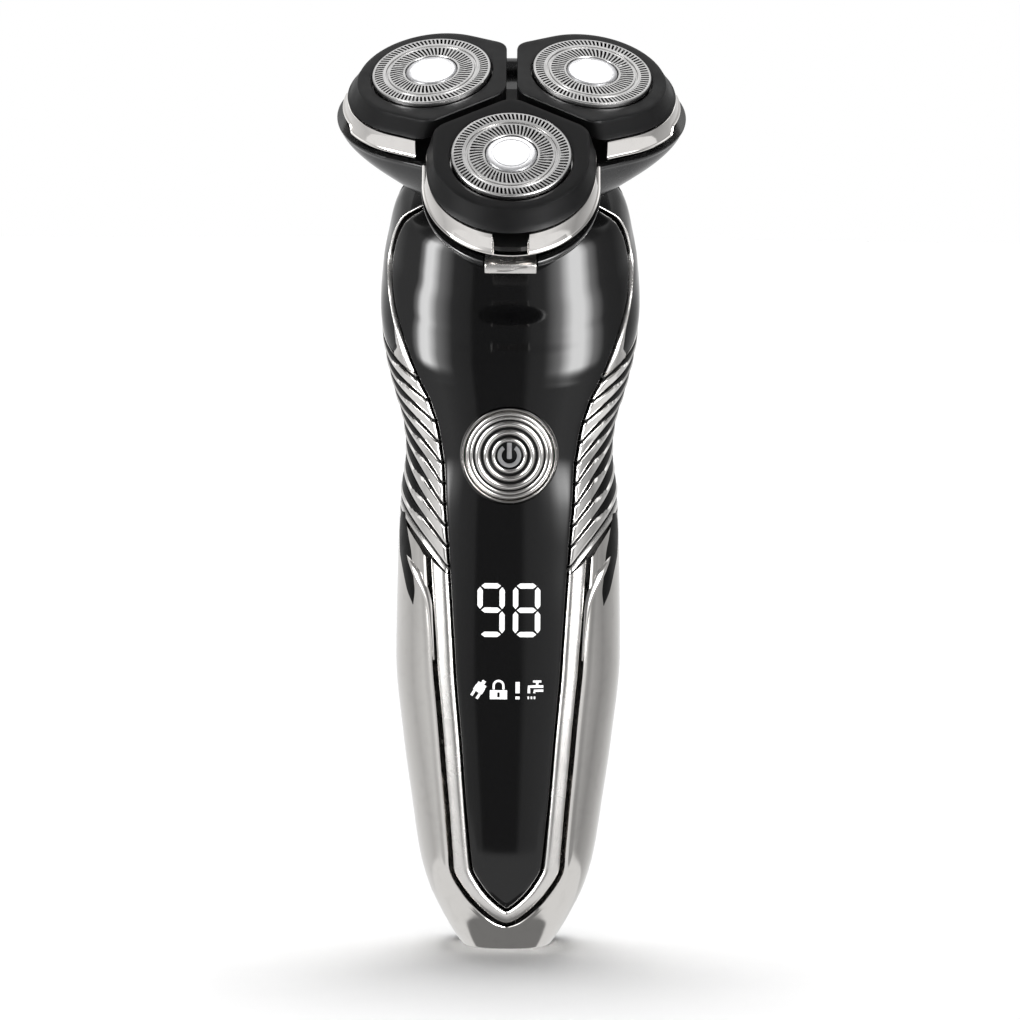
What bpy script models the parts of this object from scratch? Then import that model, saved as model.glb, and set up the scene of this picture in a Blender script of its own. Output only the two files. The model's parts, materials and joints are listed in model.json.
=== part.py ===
"""Three-headed rotary shaver, standing on its base, front towards -Y. Dimensions are millimetres until mesh_object."""

import math

import bmesh
import bpy
import numpy as np
from mathutils import Matrix, Vector

MM = 0.001
GAP = 0.3
HALF_GAP = 0.2
TAU = 2 * math.pi

# Handle cross-sections: spine height, half width, spine y, depth in front, depth behind, lean in degrees.
STATIONS = (
    (0.0, 8.5, 0.0, 8.6, 8.6, 0.0),
    (1.6, 9.2, 0.0, 9.6, 9.4, 0.0),
    (4.0, 10.8, 0.0, 11.6, 11.2, 0.0),
    (6.5, 12.5, 0.0, 13.4, 12.8, 0.0),
    (12.2, 14.9, 0.0, 15.6, 14.8, 0.0),
    (18.1, 16.65, 0.0, 16.8, 15.9, 0.0),
    (29.4, 18.75, 0.0, 17.8, 17.0, 0.0),
    (41.2, 20.25, 0.0, 18.2, 17.6, 0.0),
    (57.6, 21.5, 0.0, 18.3, 17.9, 0.0),
    (79.6, 21.5, 0.3, 18.2, 17.8, 0.0),
    (88.5, 21.2, 0.6, 18.3, 17.8, 2.0),
    (98.0, 20.1, 1.2, 18.6, 17.8, 5.0),
    (103.3, 20.6, 1.8, 19.2, 18.2, 7.0),
    (111.0, 22.7, 3.0, 20.8, 19.0, 11.0),
    (118.0, 24.3, 4.4, 22.8, 19.6, 16.0),
    (127.0, 25.45, 6.4, 25.0, 20.0, 23.0),
    (134.0, 24.95, 7.6, 25.2, 20.0, 28.0),
    (139.0, 24.0, 7.6, 24.0, 19.6, 31.0),
    (143.0, 23.1, 6.6, 22.0, 18.8, 32.0),
    (146.0, 21.4, 4.9, 19.2, 17.4, 32.0),
    (148.27, 16.8, 3.4, 15.8, 15.8, 32.0),
)
TOP = STATIONS[-1][0]
FRONT_FULLNESS = 2.6
BACK_FULLNESS = 2.3
WALL = 1.8

# Rows round the lower half, from the tip up: panel edge z and x, trim edge z and x, seam spine height and angle.
SIDE_ROWS = (
    (8.4, 0.0, 5.2, 0.0, 0.0, 0.0),
    (9.2, 1.3, 5.9, 2.0, 0.0, 14.0),
    (10.1, 2.4, 7.1, 3.7, 0.0, 28.0),
    (13.1, 5.1, 11.3, 7.8, 0.0, 60.0),
    (17.2, 7.26, 16.6, 10.9, 0.0, 90.0),
    (20.5, 7.6, 20.5, 11.2, 1.0, 105.0),
    (30.4, 8.4, 30.4, 12.0, 20.0, 105.0),
    (38.3, 9.0, 38.3, 12.7, 32.0, 105.0),
    (47.8, 9.8, 47.8, 13.5, 46.0, 105.0),
    (57.8, 10.6, 57.8, 14.4, 61.0, 105.0),
    (67.3, 11.2, 67.3, 15.1, 74.0, 105.0),
    (74.6, 11.7, 75.6, 15.6, 83.2, 105.0),
)
# Panel edge above those rows: z and half width.
UPPER_EDGE = (
    (80.9, 12.1),
    (88.8, 12.7),
    (96.7, 13.1),
    (100.7, 13.7),
    (104.6, 14.5),
    (108.5, 15.8),
    (112.8, 18.0),
    (119.2, 20.6),
    (128.8, 23.2),
    (136.0, 23.3),
)
SEAM = math.radians(105)
RIB_FIRST_Z = 76.6
RIB_PITCH = 4.03
RIB_COUNT = 9
RIB_HEIGHT = 0.8
RIB_PROFILE = ((0.0, 0.0), (0.16, 1.0), (0.6, 0.8))
GRIP_START = 75.0
GRIP_END = 113.6

BUTTON_Z = 98.3
BUTTON_RADIUS = 8.6
BEZEL_RADIUS = 9.4
BUTTON_RINGS = (7.6, 6.4, 5.2, 4.0)

HEAD_CENTRE = Vector((0.0, -8.0, 166.9))
HEAD_TILT = math.radians(32)
LOBE_RADIUS = 18.1
LOBE_TILT = math.radians(7.5)
VALLEY = 0.95
LOBES = (("front", 0.0), ("left", -120.0), ("right", 120.0))
RING_RADIUS = 11.65
# Lobe outlines: height, half width, reach outwards from the ring's centre.
LOBE_TOP = (-0.5, 14.9, 14.2)
LOBE_EDGE = (-0.9, 15.2, 14.6)
LOBE_BOTTOM = (-4.5, 16.4, 17.2)
BAND_TOP = (-4.8, 16.4, 17.3)
BAND_BOTTOM = (-8.4, 17.0, 19.2)
BOWL_RIM = (-9.7, 17.2, 20.1)
BAND_WALL = 1.2
FLEX_HEIGHT = -6.0
NECK = -21.5
GEAR_DISTANCE = 17.4
GEAR_TEETH = 15
GEAR_TOP = -13.6
GEAR_BOTTOM = -15.6
HINGE_Y = 27.8
HINGE_H = -12.9
BOWL_COUNT = 54
TAB_SLOT = ((-5.0, -40, -15.8), (5.0, -30, -13.4))
BOWL_BOTTOM = NECK + GAP
BOWL_NECK_RADIUS = 16.2
BOWL_WALL = 1.5
BOWL_LEVELS = (0.0, 0.2, 0.5, 0.8, 1.0)
SCREWS = ((-6.0, 27.5), (6.0, 27.5), (-6.0, 93.5), (6.0, 93.5))
SCREW_DEPTH = 1.3
SCREW_HEAD = 0.75

FINISHES = {
    "gloss_black": ((0.008, 0.008, 0.009), 0.08, 0.0),
    "matte_black": ((0.018, 0.018, 0.019), 0.45, 0.0),
    "chrome": ((0.62, 0.6, 0.575), 0.12, 1.0),
    "trim_silver": ((0.76, 0.74, 0.72), 0.16, 1.0),
    "gunmetal": ((0.05, 0.05, 0.053), 0.3, 0.6),
    "steel": ((0.6, 0.6, 0.6), 0.25, 1.0),
    "satin_silver": ((0.85, 0.85, 0.86), 0.35, 0.8),
    "white_plastic": ((0.75, 0.75, 0.73), 0.4, 0.0),
    "board_green": ((0.02, 0.16, 0.06), 0.5, 0.0),
    "cell_blue": ((0.03, 0.1, 0.32), 0.4, 0.0),
    "rubber": ((0.02, 0.02, 0.02), 0.7, 0.0),
}


# ---------------------------------------------------------------- building helpers


def clear_scene():
    for old in list(bpy.data.objects):
        bpy.data.objects.remove(old)


def finish_of(name, finish):
    color, roughness, metallic = FINISHES[finish]
    made = bpy.data.materials.new(name + "_finish")
    made.use_nodes = True
    shader = made.node_tree.nodes["Principled BSDF"]
    shader.inputs["Base Color"].default_value = (*color, 1.0)
    shader.inputs["Roughness"].default_value = roughness
    shader.inputs["Metallic"].default_value = metallic
    return made


def mesh_object(name, points, faces, finish, place=None, pivot=(0, 0, 0), smooth=True):
    """A named object from millimetre points, moved by the matrix place, with its origin at the world point pivot."""
    mesh = bmesh.new()
    matrix = place or Matrix()
    verts = [mesh.verts.new((matrix @ Vector(p) - Vector(pivot)) * MM) for p in points]
    for face in faces:
        mesh.faces.new([verts[i] for i in face])
    bmesh.ops.remove_doubles(mesh, verts=mesh.verts, dist=1e-7)
    bmesh.ops.recalc_face_normals(mesh, faces=mesh.faces)
    data = bpy.data.meshes.new(name)
    mesh.to_mesh(data)
    mesh.free()
    for polygon in data.polygons:
        polygon.use_smooth = smooth
    made = bpy.data.objects.new(name, data)
    made.location = Vector(pivot) * MM
    bpy.context.collection.objects.link(made)
    if finish:
        data.materials.append(finish_of(name, finish))
    return made


def cut(target, *cutters):
    join(target, "DIFFERENCE", *cutters)


def join(target, operation, *others):
    for other in others:
        other.hide_render = True
        other.display_type = "WIRE"
        step = target.modifiers.new(other.name, "BOOLEAN")
        step.operation = operation
        step.solver = "EXACT"
        step.object = other


def ring_faces(rows, columns, closed_rows=False):
    """Quads of a grid whose columns close into rings."""
    faces = []
    for i in range(rows if closed_rows else rows - 1):
        nxt = (i + 1) % rows
        for j in range(columns):
            k = (j + 1) % columns
            faces.append((i * columns + j, i * columns + k, nxt * columns + k, nxt * columns + j))
    return faces


def turned(name, profile, finish, place=None, segments=32, pivot=(0, 0, 0)):
    """A closed outline of (radius, height) turned about the local Z; radius 0 only at the outline's two ends."""
    solid = profile[0][0] == 0
    rows = profile[1:-1] if solid else profile
    points = []
    for radius, height in rows:
        for j in range(segments):
            angle = TAU * j / segments
            points.append((radius * math.cos(angle), radius * math.sin(angle), height))
    faces = ring_faces(len(rows), segments, closed_rows=not solid)
    if solid:
        last = (len(rows) - 1) * segments
        faces.append(tuple(range(segments)))
        faces.append(tuple(range(last, last + segments)))
    made = mesh_object(name, points, faces, finish, place, pivot)
    shade_by_angle(made)
    return made


def shade_by_angle(made):
    """Keeps hard edges sharp on a smooth-shaded turned or extruded piece."""
    mesh = bmesh.new()
    mesh.from_mesh(made.data)
    for edge in mesh.edges:
        edge.smooth = len(edge.link_faces) == 2 and edge.calc_face_angle(0.0) < math.radians(35)
    mesh.to_mesh(made.data)
    mesh.free()


def prism(name, outline, low, high, finish, place=None, pivot=(0, 0, 0)):
    """An outline of (x, y) extruded from height low to high."""
    count = len(outline)
    points = [(x, y, low) for x, y in outline] + [(x, y, high) for x, y in outline]
    faces = ring_faces(2, count)
    faces.append(tuple(range(count)))
    faces.append(tuple(range(count, 2 * count)))
    made = mesh_object(name, points, faces, finish, place, pivot)
    shade_by_angle(made)
    return made


def loft(name, outlines, finish, place=None, pivot=(0, 0, 0)):
    """Rings of (x, y, z) joined in order, capped at both ends."""
    count = len(outlines[0])
    points = [p for ring in outlines for p in ring]
    faces = ring_faces(len(outlines), count)
    last = (len(outlines) - 1) * count
    faces.append(tuple(range(count)))
    faces.append(tuple(range(last, last + count)))
    made = mesh_object(name, points, faces, finish, place, pivot)
    shade_by_angle(made)
    return made


def tube(name, rings, finish, place=None, pivot=(0, 0, 0)):
    """Rings of (x, y, z) joined in order and back to the first."""
    count = len(rings[0])
    points = [p for ring in rings for p in ring]
    made = mesh_object(name, points, ring_faces(len(rings), count, closed_rows=True), finish, place, pivot)
    shade_by_angle(made)
    return made


def box(name, low, high, finish, place=None, pivot=(0, 0, 0)):
    (x0, y0, z0), (x1, y1, z1) = low, high
    outline = ((x0, y0), (x1, y0), (x1, y1), (x0, y1))
    return prism(name, outline, z0, z1, finish, place, pivot)


def circle(radius, count):
    turns = [TAU * i / count for i in range(count)]
    return [(radius * math.cos(t), radius * math.sin(t)) for t in turns]


# ---------------------------------------------------------------- the handle's surface


def smooth_table(rows):
    """Functions giving each column of the rows against the first one, without overshoot."""
    table = np.array(rows, float)
    at = table[:, 0]

    def column(values):
        steps = np.diff(values) / np.diff(at)
        slope = np.empty(len(at))
        slope[0], slope[-1] = steps[0], steps[-1]
        for i in range(1, len(at) - 1):
            same = steps[i - 1] * steps[i] > 0
            slope[i] = 2 * steps[i - 1] * steps[i] / (steps[i - 1] + steps[i]) if same else 0.0

        def value(s):
            s = min(max(s, at[0]), at[-1])
            i = int(min(np.searchsorted(at, s, "right") - 1, len(at) - 2))
            width = at[i + 1] - at[i]
            t = (s - at[i]) / width
            return (
                (1 + 2 * t) * (1 - t) ** 2 * values[i]
                + t * (1 - t) ** 2 * width * slope[i]
                + t * t * (3 - 2 * t) * values[i + 1]
                + t * t * (t - 1) * width * slope[i + 1]
            )

        return value

    return [column(table[:, k]) for k in range(1, table.shape[1])]


HALF_WIDTH, SPINE_Y, FRONT_DEPTH, BACK_DEPTH, LEAN = smooth_table(STATIONS)


def power(value, fullness):
    return math.copysign(abs(value) ** (2 / fullness), value)


def body_point(s, theta, inset=0.0):
    """The handle's surface at spine height s and angle theta from the front, moved in by inset."""
    front = math.cos(theta) > 0
    fullness = FRONT_FULLNESS if front else BACK_FULLNESS
    depth = (FRONT_DEPTH(s) if front else BACK_DEPTH(s)) - inset
    lean = math.radians(LEAN(s))
    x = (HALF_WIDTH(s) - inset) * power(math.sin(theta), fullness)
    back = -depth * power(math.cos(theta), fullness)
    return (x, SPINE_Y(s) + back * math.cos(lean), s + back * math.sin(lean))


def surface_at(x, z):
    """Spine height and angle of the front surface point with this x and z."""
    low, high = z, min(z + 20.0, TOP)
    for _ in range(40):
        s = (low + high) / 2
        theta = front_angle(s, x)
        if body_point(s, theta)[2] < z:
            low = s
        else:
            high = s
    return s, front_angle(s, x)


def front_angle(s, x):
    share = min(x / HALF_WIDTH(s), 0.999)
    return math.asin(share ** (FRONT_FULLNESS / 2))


def slab(name, rows, finish, lift=None, inset=WALL):
    """A piece of the handle's skin over a grid of (s, theta), WALL thick; lift raises its outer face."""
    columns = len(rows[0])
    outer, inner = [], []
    for i, row in enumerate(rows):
        for j, (s, theta) in enumerate(row):
            rise = lift(i, j) if lift else 0.0
            outer.append(body_point(s, theta, -rise))
            inner.append(body_point(s, theta, inset))
    count = len(outer)
    faces = []
    for i in range(len(rows) - 1):
        for j in range(columns - 1):
            quad = (i * columns + j, i * columns + j + 1, (i + 1) * columns + j + 1, (i + 1) * columns + j)
            faces.append(quad)
            faces.append(tuple(count + k for k in reversed(quad)))
    rim = [j for j in range(columns)]
    rim += [i * columns + columns - 1 for i in range(1, len(rows))]
    rim += [(len(rows) - 1) * columns + j for j in range(columns - 2, -1, -1)]
    rim += [i * columns for i in range(len(rows) - 2, 0, -1)]
    for a, b in zip(rim, rim[1:] + rim[:1]):
        faces.append((a, b, b + count, a + count))
    made = mesh_object(name, outer + inner, faces, finish)
    shade_by_angle(made)
    return made


# ---------------------------------------------------------------- the handle's skin


def offset_curve(points, distance):
    """A curve of (x, z) that starts on the mid plane, moved outwards by distance."""
    mirrored = [(-points[1][0], points[1][1])] + list(points)
    moved = []
    for i in range(1, len(mirrored)):
        ahead = mirrored[min(i + 1, len(mirrored) - 1)]
        behind = mirrored[i - 1]
        along = Vector((ahead[0] - behind[0], ahead[1] - behind[1])).normalized()
        x, z = mirrored[i]
        moved.append((max(x + along[1] * distance, 0.0), z - along[0] * distance))
    moved[0] = (0.0, moved[0][1])
    return moved


def panel_edge(distance):
    """Edge angle of the panel against spine height, with the edge moved outwards by distance."""
    points = [(row[1], row[0]) for row in SIDE_ROWS] + [(x, z) for z, x in UPPER_EDGE]
    rows = [surface_at(x, z) for x, z in offset_curve(points, distance)]
    rows.append((TOP, rows[-1][1]))
    return smooth_table(rows)[0]


def between(values, at):
    """Smooth value of a list of numbers at a fractional index."""
    return smooth_table([(i, v) for i, v in enumerate(values)])[0](at)


def lower_rows(first, last, columns, steps):
    """Rows round the tip from the left top to the right top, each from the curve first to the curve last."""
    count = len(first)
    parts = [[between([p[k] for p in curve], i / steps) for i in range((count - 1) * steps + 1)]
             for curve in (first, last) for k in (0, 1)]
    rows = []
    for s0, t0, s1, t1 in zip(*parts):
        shares = [j / (columns - 1) for j in range(columns)]
        rows.append([(s0 + (s1 - s0) * f, t0 + (t1 - t0) * f) for f in shares])
    left = [[(s, -t) for s, t in row] for row in reversed(rows[1:])]
    return left + rows


def front_cover():
    edge = panel_edge(-HALF_GAP)
    start = SIDE_ROWS[0][0] + 0.55
    heights = [start, 9.7, 11, 12.8, 15, 17.4, 20.5, 28, 40, 54, 68, 80, 89, 96, 102, 108, 114, 120, 126]
    heights += [132, 137, 141, 144.3, 146.6, TOP]
    columns = 9
    rows = []
    for s in heights:
        limit = edge(s)
        rows.append([(s, limit * (2 * j / (columns - 1) - 1)) for j in range(columns)])
    cover = slab("front_cover", rows, "gloss_black")
    hole = turned("button_hole_cutter", ((0, -12), (BEZEL_RADIUS + 0.25, -12), (BEZEL_RADIUS + 0.25, 8), (0, 8)),
                  None, button_place())
    cut(cover, hole)


def lower_skin():
    """The silver trim and the chrome shell below the grips."""
    panel = [(row[1], row[0]) for row in SIDE_ROWS]
    trim = [(row[3], row[2]) for row in SIDE_ROWS]
    panel_out = [surface_at(x, z) for x, z in offset_curve(panel, HALF_GAP)]
    trim_in = [surface_at(x, z) for x, z in offset_curve(trim, -HALF_GAP)]
    trim_out = [surface_at(x, z) for x, z in offset_curve(trim, HALF_GAP)]
    clearance = math.radians(0.9)
    seam = [(row[4], min(math.radians(row[5]), SEAM - clearance)) for row in SIDE_ROWS]
    slab("panel_trim", lower_rows(panel_out, trim_in, 2, 2), "trim_silver", lift=lambda i, j: 0.25)
    slab("chrome_shell", lower_rows(trim_out, seam, 5, 2), "chrome")


def side_row(z, edge):
    """Ends of a row across a grip: at the panel edge with height z, and at the seam further up."""
    reach = smooth_table(((74.0, 9.6), (76.6, 10.4), (108.7, 8.3), (GRIP_END, 7.8)))[0]
    x = smooth_table([(row[0], row[1]) for row in SIDE_ROWS] + list(UPPER_EDGE))[0](z)
    s = surface_at(x, z)[0]
    return (s, edge(s)), (z + reach(z), SEAM - math.radians(0.9))


def side_patch(name, side, ends, columns, finish, lift=None):
    rows = []
    for (s0, t0), (s1, t1) in ends:
        shares = [j / (columns - 1) for j in range(columns)]
        rows.append([(s0 + (s1 - s0) * f, side * (t0 + (t1 - t0) * f)) for f in shares])
    slab(name, rows, finish, lift)


def side_grip(name, side):
    edge = panel_edge(HALF_GAP)
    heights, raised = [GRIP_START], [0.0]
    for rib in range(RIB_COUNT):
        for share, rise in RIB_PROFILE:
            heights.append(RIB_FIRST_Z + (rib + share) * RIB_PITCH)
            raised.append(rise * RIB_HEIGHT)
    heights.append(GRIP_END)
    raised.append(0.0)
    columns = 4
    fade = (0.35, 1.0, 1.0, 0.5)
    ends = [side_row(z, edge) for z in heights]
    side_patch(name, side, ends, columns, "chrome", lambda i, j: raised[i] * fade[j])


def shoulder_trim(name, side):
    edge = panel_edge(HALF_GAP)
    (s0, _), (s1, seam) = side_row(GRIP_END + 0.5, edge)
    steps = 8
    ends = []
    for i in range(steps + 1):
        f = i / steps
        s = s0 + (TOP - s0) * f
        ends.append(((s, edge(s)), (s1 + (TOP - s1) * f, seam)))
    side_patch(name, side, ends, 4, "chrome")


def rear_cover():
    seam = SEAM + math.radians(0.9)
    heights = [0, 1.6, 4, 7, 12, 18, 27, 42, 60, 80, 92, 101, 111, 119, 127, 134, 139.5, 143.5, 146.2, TOP]
    columns = 11
    rows = []
    for s in heights:
        rows.append([(s, seam + (TAU - 2 * seam) * j / (columns - 1)) for j in range(columns)])
    cover = slab("rear_cover", rows, "matte_black")
    for i, (x, z) in enumerate(SCREWS):
        y = back_surface_y(x, z)
        profile = ((0, -6), (1.3, -6), (1.3, -SCREW_DEPTH - 0.3), (2.6, -SCREW_DEPTH - 0.3), (2.6, 3), (0, 3))
        cut(cover, turned(f"screw_hole_cutter_{i + 1}", profile, None, back_place(x, y, z), 16))


def back_surface_y(x, z):
    lean = math.radians(LEAN(z))
    s = z - BACK_DEPTH(z) * math.sin(lean)
    share = (abs(x) / HALF_WIDTH(s)) ** BACK_FULLNESS
    return SPINE_Y(s) + BACK_DEPTH(s) * (1 - share) ** (1 / BACK_FULLNESS) * math.cos(lean)


def back_place(x, y, z):
    """Local Z out of the back of the handle."""
    return Matrix.Translation((x, y, z)) @ Matrix.Rotation(-math.pi / 2, 4, "X")


def screws():
    for i, (x, z) in enumerate(SCREWS):
        y = back_surface_y(x, z)
        length = y - SCREW_DEPTH - 5.0
        profile = (
            (0, -length), (0.6, -length), (1.0, -length + 1), (1.0, -SCREW_DEPTH),
            (2.2, -SCREW_DEPTH), (2.2, -SCREW_DEPTH + SCREW_HEAD), (0, -SCREW_DEPTH + SCREW_HEAD),
        )
        turned(f"chassis_screw_{i + 1}", profile, "steel", back_place(x, y, z), 14)


def base_and_socket():
    outline = []
    for i in range(36):
        x, y, _ = body_point(0.0, TAU * i / 36, WALL + 0.35)
        outline.append((x, y))
    plate = prism("base_plate", outline, 0.0, 1.8, "matte_black")
    cut(plate, prism("slot_cutter", slot_outline(4.7, 1.75), -1, 3, None))
    shell = prism("charging_socket", slot_outline(4.4, 1.45), 0.3, 7.5, "steel")
    cut(shell, prism("socket_cutter", slot_outline(4.1, 1.15), -1, 6.9, None))


def slot_outline(half_length, radius):
    centre_y = 3.6
    points = []
    for side in (1, -1):
        for i in range(7):
            angle = -math.pi / 2 + math.pi * i / 6
            points.append((side * (half_length - radius + radius * math.cos(angle)),
                           centre_y + side * radius * math.sin(angle)))
    return points


# ---------------------------------------------------------------- the button and what is inside the handle


def button_place():
    s, _ = surface_at(0.0, BUTTON_Z)
    return Matrix.Translation((0, body_point(s, 0.0)[1], BUTTON_Z)) @ Matrix.Rotation(math.pi / 2, 4, "X")


def power_button():
    place = button_place()
    profile = [(0, -4.9), (1.5, -4.9), (1.5, -3.0), (BUTTON_RADIUS, -3.0), (BUTTON_RADIUS, 0.3)]
    for radius in BUTTON_RINGS:
        profile += [(radius + 0.75, 0.55), (radius + 0.4, 0.55), (radius + 0.2, 0.25), (radius, 0.25)]
    profile += [(3.3, 0.5), (0, 0.5)]
    turned("power_button", profile, "chrome", place, 24, pivot=place.translation)
    ring = BEZEL_RADIUS - 0.05
    outline = ((8.9, -4.2), (10.4, -4.2), (10.4, -3.6), (ring, -3.6), (ring, 0.35), (9.1, 0.6), (8.9, 0.35))
    turned("button_bezel", outline, "chrome", place, 28)
    turned("button_seal", ((1.9, -4.1), (8.5, -4.1), (8.5, -3.75), (1.9, -3.75)), "rubber", place, 24)


def electronics():
    y = button_place().translation[1]
    board_y = y + 8.6
    box("main_circuit_board", (-10, board_y, 34), (10, board_y + 1.2, 112), "board_green")
    box("display_module", (-8.0, y + 2.4, 47), (8.0, board_y - GAP, 77), "matte_black")
    switch = box("tact_switch", (-3, y + 6.2, BUTTON_Z - 3), (3, board_y - GAP, BUTTON_Z + 3), "matte_black")
    plunger = turned("plunger", ((0, -6.6), (1.5, -6.6), (1.5, -5.7), (0, -5.7)), None, button_place(), 16)
    join(switch, "UNION", plunger)


def inner_chassis():
    front, back, reach = -6.8, -5.4, 9.0
    wide, rail = 12.6, 10.4
    outline = ((-wide, front), (wide, front), (wide, reach), (rail, reach), (rail, back),
               (-rail, back), (-rail, reach), (-wide, reach))
    chassis = prism("inner_chassis", outline, 24, 106, "matte_black")
    for i, z in enumerate((27.5, 93.5)):
        low, high = (-rail - 0.5, back - 0.5, z - 3.2), (rail + 0.5, reach - 0.5, z + 3.2)
        join(chassis, "UNION", box(f"chassis_block_{i + 1}", low, high, None))
    for i, (x, z) in enumerate(SCREWS):
        profile = ((0, -14), (1.3, -14), (1.3, 2), (0, 2))
        cut(chassis, turned(f"boss_cutter_{i + 1}", profile, None, back_place(x, 14.0 + 3.5, z), 14))


def battery():
    place = Matrix.Translation((0, 2.4, 0))
    low, high = 34.5, 84.5
    profile = ((0, low), (7.1, low), (7.1, high - 1), (6.6, high), (0, high))
    turned("battery_cell", profile, "cell_blue", place, 28)
    box("battery_tab_top", (-3, -0.6, high + GAP), (3, 5.4, high + GAP + 0.5), "steel")
    box("battery_tab_bottom", (-3, -0.6, low - GAP - 0.5), (3, 5.4, low - GAP), "steel")


def head_matrix():
    return Matrix.Translation(HEAD_CENTRE) @ Matrix.Rotation(HEAD_TILT, 4, "X")


def motor():
    head = head_matrix()
    pivot = head.translation
    profile = ((0, -45.2), (2.5, -45.2), (2.5, -44), (7, -44), (7, -28), (0, -28))
    turned("motor_can", profile, "steel", head, 28)
    turned("motor_mount_plate", ((2.0, -27.6), (12.5, -27.6), (12.5, -26.2), (2.0, -26.2)), "matte_black", head, 28)
    turned("motor_shaft", ((0, -27.6), (1.0, -27.6), (1.0, -22.9), (0, -22.9)), "steel", head, 12, pivot)
    profile = ((0, -22.5), (1.3, -22.5), (1.3, -25.4), (3.0, -25.4), (3.0, -21.9), (0, -21.9))
    turned("drive_coupler", profile, "white_plastic", head, 6, pivot)
    turned("shaft_seal", ((3.4, -24.6), (7.6, -24.6), (7.6, -23.5), (3.4, -23.5)), "rubber", head, 24)
    profile = ((8.0, -25.6), (13.6, -25.6), (13.6, -21.6), (8.0, -21.6))
    turned("neck_collar", profile, "matte_black", head, 32)


# ---------------------------------------------------------------- the head


def lobe_matrix(turn):
    out = Matrix.Translation((0, -LOBE_RADIUS, 0)) @ Matrix.Rotation(LOBE_TILT, 4, "X")
    return head_matrix() @ Matrix.Rotation(math.radians(turn), 4, "Z") @ out


def lobe_outline(level, inset=0.0, arc=16):
    """Outline of a lobe at a (height, half width, reach), its two flat sides clear of the lobes beside it."""
    height, half, reach = level[0], level[1] - inset, level[2] - inset
    points = []
    for i in range(arc + 1):
        angle = math.pi + math.pi * i / arc
        points.append((half * math.cos(angle), reach * math.sin(angle)))
    axis = LOBE_RADIUS + height * math.tan(LOBE_TILT)
    clear = (VALLEY + inset) / math.cos(math.pi / 6)
    slope = math.tan(math.pi / 6)
    side = []
    for x, back in ((half, 0.8), (half - 0.9, 0.0), (1.2, 0.0)):
        side.append((x, axis - x * slope - clear - back))
    return points + side + [(-x, y) for x, y in reversed(side)]


def at_height(outline, height):
    return [(x, y, height) for x, y in outline]


def lobe_ring(level, inset=0.0, drop=0.0):
    return at_height(lobe_outline(level, inset), level[0] + drop)


def lobe_frame(name, turn):
    place = lobe_matrix(turn)
    pivot = place @ Vector((0, 0, FLEX_HEIGHT))
    frame = loft(name, [lobe_ring(level) for level in (LOBE_BOTTOM, LOBE_EDGE, LOBE_TOP)], "matte_black", place, pivot)
    cavity = loft(name + "_cavity", [lobe_ring(LOBE_BOTTOM, 1.5, -1.0), lobe_ring(LOBE_EDGE, 1.5, -1.1)], None, place)
    hole = ((0, -4), (RING_RADIUS + 0.3, -4), (RING_RADIUS + 0.3, 2), (0, 2))
    cut(frame, cavity, turned(name + "_opening", hole, None, place))


def shaving_set(side, turn):
    place = lobe_matrix(turn)
    pivot = place.translation
    edge = RING_RADIUS
    profile = (
        (5.3, -0.4), (5.3, 0.35), (8.4, 0.35), (8.5, 0.0), (9.1, 0.0), (9.2, 0.35), (11.3, 0.35),
        (edge, 0.1), (edge, -2.4), (12.2, -2.4), (12.2, -2.9), (10.9, -2.9), (10.9, -0.4),
    )
    turned("shaving_cap_" + side, profile, "steel", place, 28, pivot)
    profile = ((0, -0.55), (4.95, -0.55), (4.95, 0.3), (4.6, 0.55), (0, 0.55))
    turned("center_cap_" + side, profile, "satin_silver", place, 20, pivot)
    profile = ((8.2, -5.6), (11.9, -5.6), (11.9, -4.6), (8.2, -4.6))
    turned("retaining_ring_" + side, profile, "white_plastic", place, 24, pivot)
    blades = 12
    outline = []
    for i in range(blades):
        for share, radius in ((0.0, 10.4), (0.3, 10.4), (0.36, 7.4), (0.94, 7.4)):
            angle = TAU * (i + share) / blades
            outline.append((radius * math.cos(angle), radius * math.sin(angle)))
    cutter = prism("cutter_" + side, outline, -2.6, -0.95, "steel", place, pivot)
    hub = ((2.2, -5.6), (3.4, -5.6), (3.4, -2.4), (2.2, -2.4))
    join(cutter, "UNION", turned("cutter_hub_" + side, hub, None, place, 14))


def gear_outline(phase):
    """Teeth around a circle, the first one centred on phase."""
    pitch = TAU / GEAR_TEETH
    radius = GEAR_DISTANCE / 2
    points = []
    for i in range(GEAR_TEETH):
        centre = phase + i * pitch
        for share, r in ((-0.3, radius - 1.1), (-0.1, radius + 0.75), (0.1, radius + 0.75), (0.3, radius - 1.1)):
            angle = centre + share * pitch
            points.append((r * math.cos(angle), r * math.sin(angle)))
    return points


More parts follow.
